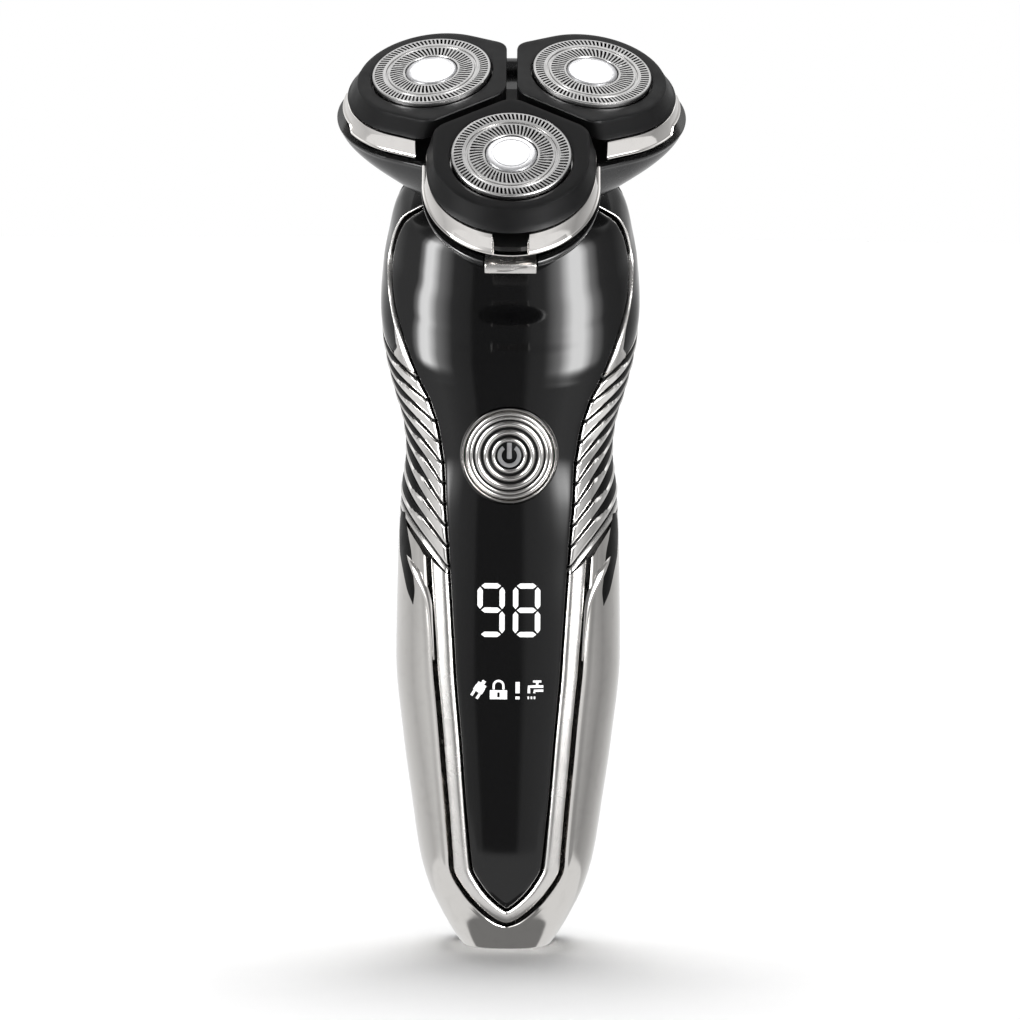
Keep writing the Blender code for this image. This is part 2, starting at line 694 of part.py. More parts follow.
def gears():
    head = head_matrix()
    outline = gear_outline(-math.pi / 2)
    central = prism("central_gear", outline, GEAR_BOTTOM, GEAR_TOP, "white_plastic", head, head.translation)
    profile = (
        (0, -20.4), (3.3, -20.4), (3.3, -23.0), (4.3, -23.0), (4.3, -19.8),
        (2.2, -19.0), (2.2, GEAR_BOTTOM + 0.2), (0, GEAR_BOTTOM + 0.2),
    )
    join(central, "UNION", turned("central_shaft", profile, None, head, 20))
    for side, turn in LOBES:
        place = head @ Matrix.Rotation(math.radians(turn), 4, "Z") @ Matrix.Translation((0, -GEAR_DISTANCE, 0))
        outline = gear_outline(math.pi / 2 + math.pi / GEAR_TEETH)
        name = "spindle_gear_" + side
        gear = prism(name, outline, GEAR_BOTTOM, GEAR_TOP, "white_plastic", place, place.translation)
        foot = GEAR_BOTTOM - 0.2
        profile = ((0, foot), (1.6, foot), (1.6, -10.5), (1.1, -10.0), (1.1, -4.9), (0.8, -4.2), (0, -4.2))
        join(gear, "UNION", turned("spindle_" + side, profile, None, place, 14))


def off_axis(angle):
    """Angle from the nearest lobe's outward direction."""
    sector = TAU / 3
    return (angle + math.pi / 2 + sector / 2) % sector - sector / 2


def head_radius(angle, level, inset=0.0):
    """Distance from the head's axis to the outline of the three lobes together at a level."""
    half, reach = level[1] - inset, level[2] - inset
    centre = LOBE_RADIUS + level[0] * math.tan(LOBE_TILT)
    off = off_axis(angle)
    if abs(math.tan(off)) * centre >= half:
        return half / abs(math.sin(off))
    along, across = math.cos(off) / reach, math.sin(off) / half
    a = along**2 + across**2
    b = -along * centre / reach
    c = (centre / reach) ** 2 - 1
    return (-b + math.sqrt(b * b - a * c)) / a


def head_outline(level, inset, count=54):
    turns = [TAU * i / count for i in range(count)]
    return [(head_radius(a, level, inset) * math.cos(a), head_radius(a, level, inset) * math.sin(a)) for a in turns]


def bowl_ring(share, inset, lift=0.0):
    """A ring of the bowl at this share of its height, moved in by inset."""
    ring = []
    centre = LOBE_RADIUS + BOWL_RIM[0] * math.tan(LOBE_TILT)
    for i in range(BOWL_COUNT):
        angle = TAU * i / BOWL_COUNT
        top = head_radius(angle, BOWL_RIM, inset)
        along = head_radius(angle, BOWL_RIM) * math.cos(off_axis(angle))
        rim = BOWL_RIM[0] - (along - centre) * math.tan(LOBE_TILT)
        swell = math.sin(share * math.pi / 2) ** 0.8
        neck = BOWL_NECK_RADIUS - inset
        radius = neck + (top - neck) * swell
        height = BOWL_BOTTOM + lift + (rim - BOWL_BOTTOM - lift) * share
        ring.append((radius * math.cos(angle), radius * math.sin(angle), height))
    return ring


def level_ring(radius, height):
    return at_height(circle(radius, BOWL_COUNT), height)


def hair_chamber():
    head = head_matrix()
    rings = [bowl_ring(share, 0.0) for share in BOWL_LEVELS]
    rings += [bowl_ring(share, BOWL_WALL, BOWL_WALL) for share in reversed(BOWL_LEVELS)]
    rings += [level_ring(4.7, BOWL_BOTTOM + BOWL_WALL), level_ring(4.7, BOWL_BOTTOM - 1.9)]
    rings += [level_ring(7.4, BOWL_BOTTOM - 1.9), level_ring(7.4, BOWL_BOTTOM)]
    bowl = tube("hair_chamber", rings, "gunmetal", head, head.translation)
    cut(bowl, box("arm_slot", (-5.7, 15, -10.95), (5.7, 32, -4), None, head))
    join(bowl, "UNION", box("bowl_arm", (-2.6, 17.6, -15.2), (2.6, HINGE_Y, -12.9), None, head))
    join(bowl, "UNION", knuckle("bowl_knuckle", -2.6, 2.6, 2.2))
    cut(bowl, knuckle("bowl_pin_hole", -8, 8, 1.15))
    cut(bowl, box("tab_slot", TAB_SLOT[0], TAB_SLOT[1], None, head))


def knuckle(name, low, high, radius):
    along = Matrix.Translation((0, HINGE_Y, HINGE_H)) @ Matrix.Rotation(math.pi / 2, 4, "Y")
    return turned(name, ((0, low), (radius, low), (radius, high), (0, high)), None, head_matrix() @ along, 16)


def hinge_pin():
    along = head_matrix() @ Matrix.Translation((0, HINGE_Y, HINGE_H)) @ Matrix.Rotation(math.pi / 2, 4, "Y")
    turned("hinge_pin", ((0, -5.2), (0.8, -5.2), (0.8, 5.2), (0, 5.2)), "steel", along, 14)


def release_tab():
    head = head_matrix()
    low, high = TAB_SLOT
    inner = -33.2
    box("release_tab", (low[0] + GAP, -36.9, low[2] + GAP), (high[0] - GAP, inner, high[2] - GAP), "trim_silver",
        head, head.translation)
    box("release_spring", (-3.0, inner + 1.6, low[2] + GAP), (3.0, inner + 2.0, high[2] - GAP), "steel", head)


def head_carrier():
    head = head_matrix()
    pivot = head @ Vector((0, HINGE_Y, HINGE_H))
    low, high = -12.0, -10.2
    carrier = prism("head_carrier", head_outline(BOWL_RIM, 2.6), low, high, "matte_black", head, pivot)
    y, h = HINGE_Y, HINGE_H
    arm = ((14, -8.7), (y - 0.9, -8.7), (y + 1.9, h + 2.3), (y + 2.2, h), (y + 1.5, h - 1.6), (y, h - 2.2),
           (y - 1.2, h - 1.9), (y - 2.0, h), (y - 2.0, h + 2.3), (14, -10.6))
    stand = Matrix(((0, 0, 1, 0), (1, 0, 0, 0), (0, 1, 0, 0), (0, 0, 0, 1)))
    for side in (-1, 1):
        reach = sorted((side * 2.9, side * 5.2))
        join(carrier, "UNION", prism(f"carrier_arm_{side + 2}", arm, reach[0], reach[1], None, head @ stand))
    cut(carrier, knuckle("carrier_pin_hole", -8, 8, 1.15))
    for side, turn in LOBES:
        place = head @ Matrix.Rotation(math.radians(turn), 4, "Z") @ Matrix.Translation((0, -GEAR_DISTANCE, 0))
        cut(carrier, turned("carrier_hole_" + side, ((0, -14), (4.6, -14), (4.6, -8), (0, -8)), None, place, 24))


def gear_plate():
    head = head_matrix()
    plate = prism("gear_plate", head_outline(BOWL_RIM, 11.2, 36), -17.0, -16.1, "white_plastic", head)
    hole = ((0, -19), (3.2, -19), (3.2, -14), (0, -14))
    cut(plate, turned("gear_plate_hole", hole, None, head, 24))


def chrome_band(name, turn):
    """A C-shaped band under a lobe's black frame."""
    place = lobe_matrix(turn)
    pivot = place @ Vector((0, 0, FLEX_HEIGHT))
    levels = (BAND_BOTTOM, BAND_TOP)
    rings = [band_section(level) for level in levels]
    band = loft(name, rings, "chrome", place, pivot)
    cut(band, box(name + "_notch", (-3.6, -24, BAND_BOTTOM[0] + 0.4), (3.6, -10, BAND_TOP[0] + 1), None, place))


def band_section(level):
    arc = lobe_outline(level)[:17]
    inner = lobe_outline(level, BAND_WALL)[:17]
    outer = [(arc[0][0], 5.4)] + arc + [(arc[-1][0], 5.4)]
    inner = [(inner[0][0], 5.4)] + inner + [(inner[-1][0], 5.4)]
    return at_height(outer + inner[::-1], level[0])


def main():
    clear_scene()
    front_cover()
    lower_skin()
    for name, side in (("left", -1), ("right", 1)):
        side_grip("side_grip_" + name, side)
        shoulder_trim("shoulder_trim_" + name, side)
    rear_cover()
    screws()
    base_and_socket()
    power_button()
    electronics()
    inner_chassis()
    battery()
    motor()
    for side, turn in LOBES:
        lobe_frame("lobe_frame_" + side, turn)
        shaving_set(side, turn)
        chrome_band("chrome_band_" + side, turn)
    gears()
    hair_chamber()
    hinge_pin()
    release_tab()
    head_carrier()
    gear_plate()


main()
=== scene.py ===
"""Looks of a three-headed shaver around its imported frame. Lengths are millimetres until a mesh is made."""

import json
import math

import bmesh
import bpy
import numpy as np
from mathutils import Matrix, Vector


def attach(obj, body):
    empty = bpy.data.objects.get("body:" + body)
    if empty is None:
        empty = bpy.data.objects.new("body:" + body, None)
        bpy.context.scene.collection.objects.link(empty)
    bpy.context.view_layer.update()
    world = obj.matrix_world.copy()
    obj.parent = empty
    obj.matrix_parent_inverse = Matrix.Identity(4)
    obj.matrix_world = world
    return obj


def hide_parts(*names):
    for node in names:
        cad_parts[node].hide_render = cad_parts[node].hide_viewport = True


MM = 0.001
TAU = 2 * math.pi

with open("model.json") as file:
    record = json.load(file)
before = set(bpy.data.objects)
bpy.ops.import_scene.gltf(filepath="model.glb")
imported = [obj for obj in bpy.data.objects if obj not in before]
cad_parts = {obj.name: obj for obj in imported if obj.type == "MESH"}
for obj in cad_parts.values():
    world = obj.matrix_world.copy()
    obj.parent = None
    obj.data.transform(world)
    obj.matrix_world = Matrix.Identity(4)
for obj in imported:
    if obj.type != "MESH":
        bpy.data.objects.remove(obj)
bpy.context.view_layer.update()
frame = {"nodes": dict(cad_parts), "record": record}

# ---------------------------------------------------------------- the same driving shape as the frame

# Handle cross-sections: spine height, half width, spine y, depth in front, depth behind, lean in degrees.
STATIONS = (
    (0.0, 8.5, 0.0, 8.7, 8.6, 0.0),
    (1.6, 9.7, 0.0, 10.0, 9.6, 0.0),
    (4.0, 11.2, 0.0, 11.9, 11.4, 0.0),
    (6.5, 12.6, 0.0, 13.5, 12.9, 0.0),
    (12.2, 15.3, 0.0, 15.6, 14.8, 0.0),
    (18.1, 17.0, 0.0, 16.8, 15.9, 0.0),
    (29.4, 18.75, 0.0, 17.8, 17.0, 0.0),
    (41.2, 20.4, 0.0, 18.2, 17.6, 0.0),
    (57.6, 21.95, 0.0, 18.3, 17.9, 0.0),
    (79.6, 21.6, 0.3, 18.2, 17.8, 0.0),
    (88.5, 21.2, 0.6, 18.3, 17.8, 2.0),
    (98.0, 20.1, 1.2, 18.6, 17.8, 5.0),
    (103.3, 20.6, 1.8, 19.2, 18.2, 7.0),
    (111.0, 22.7, 3.0, 20.8, 19.0, 11.0),
    (118.0, 24.3, 4.4, 22.8, 19.6, 16.0),
    (127.0, 25.45, 6.4, 25.0, 20.0, 23.0),
    (134.0, 24.95, 7.6, 25.2, 20.0, 28.0),
    (139.0, 24.0, 7.6, 24.0, 19.6, 31.0),
    (143.0, 23.1, 6.6, 22.0, 18.8, 32.0),
    (146.0, 21.4, 4.9, 19.2, 17.4, 32.0),
    (148.27, 16.8, 3.4, 15.8, 15.8, 32.0),
)
TOP = STATIONS[-1][0]
FRONT_FULLNESS = 2.6
BACK_FULLNESS = 2.3
WALL = 1.8

# Rows round the lower half, from the tip up: panel edge z and x, trim edge z and x, seam spine
# height and angle.
SIDE_ROWS = (
    (8.4, 0.0, 5.2, 0.0, 0.0, 0.0),
    (9.2, 1.3, 5.9, 2.0, 0.0, 14.0),
    (10.1, 2.4, 7.1, 3.7, 0.0, 28.0),
    (13.1, 5.1, 11.3, 7.8, 0.0, 60.0),
    (17.2, 7.26, 16.6, 10.9, 0.0, 90.0),
    (20.5, 7.6, 20.5, 11.2, 1.0, 105.0),
    (30.4, 8.4, 30.4, 12.0, 20.0, 105.0),
    (38.3, 9.0, 38.3, 12.7, 32.0, 105.0),
    (47.8, 9.8, 47.8, 13.5, 46.0, 105.0),
    (57.8, 10.6, 57.8, 14.4, 61.0, 105.0),
    (67.3, 11.2, 67.3, 15.1, 74.0, 105.0),
    (74.9, 11.7, 78.0, 15.8, 87.0, 105.0),
)
# Panel edge above those rows: z and half width.
UPPER_EDGE = (
    (80.9, 12.1),
    (88.8, 12.7),
    (96.7, 13.1),
    (100.7, 13.7),
    (104.6, 14.5),
    (108.5, 15.8),
    (112.8, 18.0),
    (119.2, 20.6),
    (128.8, 23.2),
    (136.0, 23.3),
)
SEAM = math.radians(105)
SEAM_GAP = math.radians(0.9)
RIB_FIRST_Z = 76.6
RIB_PITCH = 4.03
RIB_COUNT = 9
GRIP_START = 75.0
GRIP_END = 113.6
BUTTON_Z = 98.3
BUTTON_RADIUS = 8.6
BEZEL_RADIUS = 9.4

HEAD_CENTRE = Vector((0.0, -8.0, 166.9))
HEAD_TILT = math.radians(32)
LOBE_RADIUS = 18.1
LOBE_TILT = math.radians(7.5)
VALLEY = 0.95
LOBES = (("front", 0.0), ("left", -120.0), ("right", 120.0))
RING_RADIUS = 11.65
# Lobe outlines: height, half width, reach outwards from the ring's centre.
LOBE_TOP = (-0.5, 14.9, 14.2)
LOBE_EDGE = (-0.9, 15.2, 14.6)
LOBE_BOTTOM = (-4.5, 16.4, 17.2)
BAND_TOP = (-4.8, 16.4, 17.3)
BAND_BOTTOM = (-8.4, 17.0, 19.2)
BOWL_RIM = (-9.7, 17.2, 20.1)
BOWL_BOTTOM = -21.2
BOWL_NECK_RADIUS = 16.2
TAB_LOW = (-5.0, -37.6, -13.8)
TAB_HIGH = (5.0, -33.6, -12.1)


def smooth_table(rows):
    """Functions of the first column for each other column, without overshoot, on arrays."""
    table = np.array(rows, float)
    at = table[:, 0]
    gaps = np.diff(at)

    def column(values):
        steps = np.diff(values) / gaps
        slope = np.empty(len(at))
        slope[0], slope[-1] = steps[0], steps[-1]
        same = steps[:-1] * steps[1:] > 0
        total = np.where(same, steps[:-1] + steps[1:], 1.0)
        slope[1:-1] = np.where(same, 2 * steps[:-1] * steps[1:] / total, 0.0)

        def value(s):
            s = np.clip(s, at[0], at[-1])
            i = np.clip(np.searchsorted(at, s, "right") - 1, 0, len(at) - 2)
            width = gaps[i]
            t = (s - at[i]) / width
            return (
                (1 + 2 * t) * (1 - t) ** 2 * values[i]
                + t * (1 - t) ** 2 * width * slope[i]
                + t * t * (3 - 2 * t) * values[i + 1]
                + t * t * (t - 1) * width * slope[i + 1]
            )

        return value

    return [column(table[:, k]) for k in range(1, table.shape[1])]


HALF_WIDTH, SPINE_Y, FRONT_DEPTH, BACK_DEPTH, LEAN = smooth_table(STATIONS)
PANEL_X = smooth_table([(row[0], row[1]) for row in SIDE_ROWS] + list(UPPER_EDGE))[0]
RIB_REACH = smooth_table(((74.0, 9.6), (76.6, 10.4), (108.7, 8.3), (GRIP_END, 7.8)))[0]


def body_point(s, theta, lift=0.0):
    """The handle's surface at spine height s and angle theta from the front, moved out by lift."""
    s, theta, lift = np.broadcast_arrays(np.asarray(s, float), theta, lift)
    front = np.cos(theta) > 0
    fullness = np.where(front, FRONT_FULLNESS, BACK_FULLNESS)
    depth = np.where(front, FRONT_DEPTH(s), BACK_DEPTH(s)) + lift
    lean = np.radians(LEAN(s))
    sin, cos = np.sin(theta), np.cos(theta)
    x = (HALF_WIDTH(s) + lift) * np.sign(sin) * np.abs(sin) ** (2 / fullness)
    back = -depth * np.sign(cos) * np.abs(cos) ** (2 / fullness)
    return np.stack([x, SPINE_Y(s) + back * np.cos(lean), s + back * np.sin(lean)], axis=-1)


def front_angle(s, x):
    share = np.clip(np.abs(x) / HALF_WIDTH(s), 0, 0.999)
    return np.sign(x) * np.arcsin(share ** (FRONT_FULLNESS / 2))


def surface_at(x, z):
    """Spine height and angle of the front surface points with these x and z."""
    x, z = np.broadcast_arrays(np.asarray(x, float), z)
    low, high = z.astype(float), np.minimum(z + 20.0, TOP)
    for _ in range(40):
        s = (low + high) / 2
        under = body_point(s, front_angle(s, x))[..., 2] < z
        low, high = np.where(under, s, low), np.where(under, high, s)
    return s, front_angle(s, x)


def offset_curve(points, distance):
    """A curve of (x, z) that starts on the mid plane, moved outwards by distance."""
    mirrored = [(-points[1][0], points[1][1])] + list(points)
    moved = []
    for i in range(1, len(mirrored)):
        ahead = mirrored[min(i + 1, len(mirrored) - 1)]
        behind = mirrored[i - 1]
        along = Vector((ahead[0] - behind[0], ahead[1] - behind[1])).normalized()
        x, z = mirrored[i]
        moved.append((max(x + along[1] * distance, 0.0), z - along[0] * distance))
    moved[0] = (0.0, moved[0][1])
    return moved


def panel_edge(distance):
    """Edge angle of the panel against spine height, with the edge moved outwards by distance."""
    points = [(row[1], row[0]) for row in SIDE_ROWS] + [(x, z) for z, x in UPPER_EDGE]
    rows = [surface_at(x, z) for x, z in offset_curve(points, distance)]
    rows.append((TOP, rows[-1][1]))
    return smooth_table(rows)[0]


# ---------------------------------------------------------------- meshes

# Edges sharper than this many degrees stay crisp; points closer than this many metres are one.
SHARP = 40.0
MERGE = 2e-7


def mesh_piece(name, shape, look, body, place=None, sharp=SHARP, replaces=(), shade=None):
    """A named piece from millimetre points and faces, riding on a body. shade is a value per point."""
    points, faces = shape
    points = np.asarray(points, float).reshape(-1, 3)
    world = points
    if place is not None:
        matrix = np.array(place)
        world = points @ matrix[:3, :3].T + matrix[:3, 3]
    data = bpy.data.meshes.new(name)
    data.from_pydata((world * MM).tolist(), [], [tuple(int(i) for i in face) for face in faces])
    local = data.attributes.new("local", "FLOAT_VECTOR", "POINT")
    local.data.foreach_set("vector", points.astype(np.float32).ravel())
    if shade is not None:
        values = data.attributes.new("shade", "FLOAT", "POINT")
        values.data.foreach_set("value", np.asarray(shade, np.float32).ravel())
    mesh = bmesh.new()
    mesh.from_mesh(data)
    bmesh.ops.remove_doubles(mesh, verts=mesh.verts, dist=MERGE)
    bmesh.ops.recalc_face_normals(mesh, faces=mesh.faces)
    limit = math.radians(sharp)
    for face in mesh.faces:
        face.smooth = True
    for edge in mesh.edges:
        edge.smooth = len(edge.link_faces) == 2 and edge.calc_face_angle(0.0) < limit
    mesh.to_mesh(data)
    mesh.free()
    data.materials.append(LOOKS[look])
    made = bpy.data.objects.new(name, data)
    bpy.context.scene.collection.objects.link(made)
    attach(made, body)
    if replaces:
        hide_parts(*replaces)
    return made


def grid_quads(rows, columns, offset=0, wrap=False):
    i, j = np.meshgrid(np.arange(rows - 1), np.arange(columns if wrap else columns - 1), indexing="ij")
    k = (j + 1) % columns
    quads = np.stack([i * columns + j, i * columns + k, (i + 1) * columns + k, (i + 1) * columns + j], -1)
    return (quads.reshape(-1, 4) + offset).tolist()


def shell(outer, inner):
    """Points and faces of a closed skin between two grids of points."""
    rows, columns = outer.shape[:2]
    count = rows * columns
    faces = grid_quads(rows, columns)
    faces += [tuple(reversed(f)) for f in grid_quads(rows, columns, count)]
    rim = list(range(columns))
    rim += [i * columns + columns - 1 for i in range(1, rows)]
    rim += [(rows - 1) * columns + j for j in range(columns - 2, -1, -1)]
    rim += [i * columns for i in range(rows - 2, 0, -1)]
    for a, b in zip(rim, rim[1:] + rim[:1]):
        faces.append((a, b, b + count, a + count))
    return np.concatenate([outer.reshape(-1, 3), inner.reshape(-1, 3)]), faces


def skin(name, s, theta, lift, look, replaces, shade=None):
    """A piece of the handle's skin over grids of spine height, angle and lift."""
    if shade is not None:
        shade = np.concatenate([shade.ravel(), shade.ravel()])
    shape = shell(body_point(s, theta, lift), body_point(s, theta, -WALL))
    return mesh_piece(name, shape, look, "handle", replaces=replaces, shade=shade)


def lathe(profile, segments, closed=False):
    """Points and faces of (radius, height) pairs turned about Z; radius 0 only at an open end."""
    points, faces, rings = [], [], []
    for radius, height in profile:
        if radius == 0:
            rings.append([len(points)])
            points.append((0.0, 0.0, height))
            continue
        rings.append(list(range(len(points), len(points) + segments)))
        for j in range(segments):
            angle = TAU * j / segments
            points.append((radius * math.cos(angle), radius * math.sin(angle), height))
    pairs = list(zip(rings, rings[1:] + rings[:1])) if closed else list(zip(rings, rings[1:]))
    for a, b in pairs:
        for j in range(segments):
            k = (j + 1) % segments
            if len(a) == 1:
                faces.append((a[0], b[j], b[k]))
            elif len(b) == 1:
                faces.append((a[j], a[k], b[0]))
            else:
                faces.append((a[j], a[k], b[k], b[j]))
    return points, faces


def merged(*parts):
    points, faces = [], []
    for some_points, some_faces in parts:
        start = len(points)
        points += [tuple(p) for p in some_points]
        faces += [tuple(i + start for i in face) for face in some_faces]
    return points, faces


def rolled(count, near=(0.012, 0.035)):
    """Shares from 0 to 1 with extra ones close to both ends, for a rolled edge."""
    middle = np.linspace(0, 1, count)[1:-1]
    return np.concatenate([[0.0], near, middle, [1 - n for n in reversed(near)], [1.0]])


def closed_rings(rings):
    """Rings of points joined in order, and the last one back to the first."""
    points = np.concatenate(rings)
    faces = grid_quads(len(rings) + 1, len(rings[0]), wrap=True)
    return points, [tuple(i % len(points) for i in face) for face in faces]


def taken_from(mesh):
    """Points and faces of a working mesh, which is freed."""
    mesh.verts.index_update()
    points = [tuple(v.co) for v in mesh.verts]
    faces = [tuple(v.index for v in face.verts) for face in mesh.faces]
    mesh.free()
    return points, faces


def stretches(*runs):
    """Values along runs of (start, end, count) that follow each other."""
    return np.concatenate([np.linspace(*run)[min(i, 1):] for i, run in enumerate(runs)])


def cut_with(target, shape, place=None):
    """Takes a closed shape out of a piece for good."""
    points, faces = shape
    data = bpy.data.meshes.new("cutter")
    matrix = place or Matrix()
    data.from_pydata([tuple((matrix @ Vector(p)) * MM) for p in points], [], faces)
    mesh = bmesh.new()
    mesh.from_mesh(data)
    bmesh.ops.recalc_face_normals(mesh, faces=mesh.faces)
    mesh.to_mesh(data)
    mesh.free()
    cutter = bpy.data.objects.new("cutter", data)
    bpy.context.scene.collection.objects.link(cutter)
    step = target.modifiers.new("cut", "BOOLEAN")
    step.operation = "DIFFERENCE"
    step.solver = "EXACT"
    step.object = cutter
    graph = bpy.context.evaluated_depsgraph_get()
    cut = target.evaluated_get(graph)
    result = bpy.data.meshes.new_from_object(cut, preserve_all_data_layers=True, depsgraph=graph)
    target.modifiers.clear()
    target.data = result
    bpy.data.objects.remove(cutter)


# ---------------------------------------------------------------- materials


class Paint:
    """A material built from one Principled shader and procedural detail, in millimetres."""

    def __init__(self, name, color, roughness, metallic=0.0, **sockets):
        self.material = bpy.data.materials.new(name)
        self.material.use_nodes = True
        self.tree = self.material.node_tree
        self.shader = self.tree.nodes["Principled BSDF"]
        self.shader.inputs["Base Color"].default_value = (*color, 1.0)
        self.shader.inputs["Roughness"].default_value = roughness
        self.shader.inputs["Metallic"].default_value = metallic
        for socket, value in sockets.items():
            self.shader.inputs[socket.replace("_", " ")].default_value = value
        self.color = color
        self.bumps = None

    def add(self, kind, **values):
        made = self.tree.nodes.new(kind)
        for key, value in values.items():
            setattr(made, key, value)
        return made

    def link(self, out, into):
        self.tree.links.new(out, into)

    def math(self, operation, a, b=None):
        node = self.add("ShaderNodeMath", operation=operation)
        for socket, value in zip(node.inputs, (a, b)):
            if value is None:
                continue
            if isinstance(value, (int, float)):
                socket.default_value = value
            else:
                self.link(value, socket)
        return node.outputs[0]

    def coords(self, kind="object", stretch=(1, 1, 1)):
        """Millimetre coordinates: of the whole object, of the piece's own turned shape, or round its axis."""
        if kind == "object":
            source = self.add("ShaderNodeTexCoord").outputs["Object"]
            scale = [1000 * v for v in stretch]
        else:
            source = self.add("ShaderNodeAttribute", attribute_name="local").outputs["Vector"]
            scale = list(stretch)
        if kind == "round":
            parts = self.add("ShaderNodeSeparateXYZ")
            self.link(source, parts.inputs[0])
            x, y, z = parts.outputs
            squares = self.math("ADD", self.math("MULTIPLY", x, x), self.math("MULTIPLY", y, y))
            radius = self.math("SQRT", squares)
            whole = self.add("ShaderNodeCombineXYZ")
            self.link(radius, whole.inputs[0])
            self.link(self.math("ARCTAN2", y, x), whole.inputs[1])
            self.link(z, whole.inputs[2])
            source = whole.outputs[0]
        mapping = self.add("ShaderNodeMapping")
        mapping.inputs["Scale"].default_value = scale
        self.link(source, mapping.inputs[0])
        return mapping.outputs[0]

    def noise(self, size, detail=3.0, kind="object", stretch=(1, 1, 1), rough=0.55):
        """Noise whose features are about size millimetres."""
        node = self.add("ShaderNodeTexNoise")
        node.inputs["Scale"].default_value = 1.0 / size
        node.inputs["Detail"].default_value = detail
        node.inputs["Roughness"].default_value = rough
        self.link(self.coords(kind, stretch), node.inputs["Vector"])
        return node.outputs[0]

    def ranged(self, source, low, high, start=0.3, end=0.7):
        node = self.add("ShaderNodeMapRange")
        for key, value in zip(("From Min", "From Max", "To Min", "To Max"), (start, end, low, high)):
            node.inputs[key].default_value = value
        self.link(source, node.inputs["Value"])
        return node.outputs[0]

    def rough(self, source, low, high):
        self.link(self.ranged(source, low, high), self.shader.inputs["Roughness"])
        return self

    def tint(self, source, other, start=0.35, end=0.75, into=None):
        """Mixes the base colour towards other where source is high."""
        mix = self.add("ShaderNodeMix", data_type="RGBA")
        base = self.shader.inputs["Base Color"]
        if base.is_linked:
            self.link(base.links[0].from_socket, mix.inputs["A"])
        else:
            mix.inputs["A"].default_value = base.default_value[:]
        mix.inputs["B"].default_value = (*other, 1.0)
        self.link(self.ranged(source, 0.0, 1.0, start, end), mix.inputs["Factor"])
        self.link(mix.outputs["Result"], base)
        return self

    def bump(self, source, height, strength=1.0):
        """Adds relief of about height millimetres."""
        node = self.add("ShaderNodeBump")
        node.inputs["Strength"].default_value = strength
        node.inputs["Distance"].default_value = height * MM
        self.link(source, node.inputs["Height"])
        if self.bumps is not None:
            self.link(self.bumps, node.inputs["Normal"])
        self.bumps = node.outputs[0]
        self.link(self.bumps, self.shader.inputs["Normal"])
        return self

    def worn(self, lighter, start=0.53, end=0.6):
        """Edges rubbed lighter."""
        return self.tint(self.add("ShaderNodeNewGeometry").outputs["Pointiness"], lighter, start, end)

    def painted(self, other, rough, metal):
        """Where the piece's own shade is 1, a dark, dull non-metal colour instead of the metal: painted shade
        in grooves, and the button's dark centre.
        """
        shade = self.add("ShaderNodeAttribute", attribute_name="shade").outputs["Fac"]
        self.tint(shade, other, 0.2, 0.8)
        for key, value in (("Roughness", rough), ("Metallic", metal)):
            socket = self.shader.inputs[key]
            mix = self.add("ShaderNodeMix", data_type="FLOAT")
            if socket.is_linked:
                self.link(socket.links[0].from_socket, mix.inputs["A"])
            else:
                mix.inputs["A"].default_value = socket.default_value
            mix.inputs["B"].default_value = value
            self.link(self.ranged(shade, 0.0, 1.0, 0.2, 0.8), mix.inputs["Factor"])
            self.link(mix.outputs["Result"], socket)
        return self


def gloss_black():
    paint = Paint("piano_black", (0.004, 0.004, 0.0045), 0.06, Specular_IOR_Level=0.5)
    paint.rough(paint.noise(9.0), 0.045, 0.085)
    paint.tint(paint.noise(0.22, 2.0), (0.012, 0.012, 0.012), 0.72, 0.8)
    return paint.bump(paint.noise(3.2, 1.0), 0.0012, 0.25).material


def matte_black():
    paint = Paint("moulded_black", (0.009, 0.009, 0.0095), 0.4, Specular_IOR_Level=0.22)
    paint.rough(paint.noise(4.0), 0.36, 0.5)
    paint.worn((0.03, 0.03, 0.03), 0.54, 0.62)
    return paint.bump(paint.noise(0.16, 2.0), 0.006, 0.35).material


def chrome(name, color, low, high, painted=False):
    paint = Paint(name, color, low, 1.0)
    paint.rough(paint.noise(7.0), low, high)
    paint.tint(paint.noise(2.4, 4.0), tuple(0.93 * c for c in color), 0.5, 0.85)
    # Grooves marked with shade 1 get painted shade: the metal turns dark and dull there.
    if painted:
        paint.shader.inputs["Specular IOR Level"].default_value = 0.1
        paint.painted((0.005, 0.005, 0.005), 0.4, 0.0)
    paint.bump(paint.noise(0.5, 3.0, stretch=(1, 1, 0.12)), 0.0006, 0.3)
    return paint.bump(paint.noise(12.0, 1.0), 0.012, 0.15).material


def satin_trim():
    paint = Paint("satin_trim", (0.86, 0.84, 0.82), 0.26, 1.0)
    paint.rough(paint.noise(5.0), 0.22, 0.3)
    paint.tint(paint.noise(1.6, 4.0), (0.8, 0.785, 0.765), 0.5, 0.8)
    return paint.bump(paint.noise(0.35, 2.0, stretch=(1, 1, 0.08)), 0.0003, 0.2).material


def gunmetal():
    paint = Paint("gunmetal", (0.022, 0.022, 0.023), 0.22, 0.25, Coat_Weight=0.5, Coat_Roughness=0.1)
    paint.rough(paint.noise(6.0), 0.18, 0.3)
    paint.tint(paint.noise(0.12, 1.0), (0.06, 0.06, 0.062), 0.55, 0.8)
    return paint.bump(paint.noise(0.3, 2.0), 0.001, 0.25).material


def turned_steel(name="turned_steel", color=(0.6, 0.595, 0.59), low=0.1, high=0.24):
    paint = Paint(name, color, 0.22, 1.0)
    rings = paint.noise(0.09, 3.0, "round", (1, 0.25, 1))
    paint.rough(rings, low, high)
    paint.tint(paint.noise(0.5, 3.0, "round", (1, 1.5, 1)), tuple(0.7 * c for c in color), 0.45, 0.75)
    return paint.bump(rings, 0.002, 0.5).material


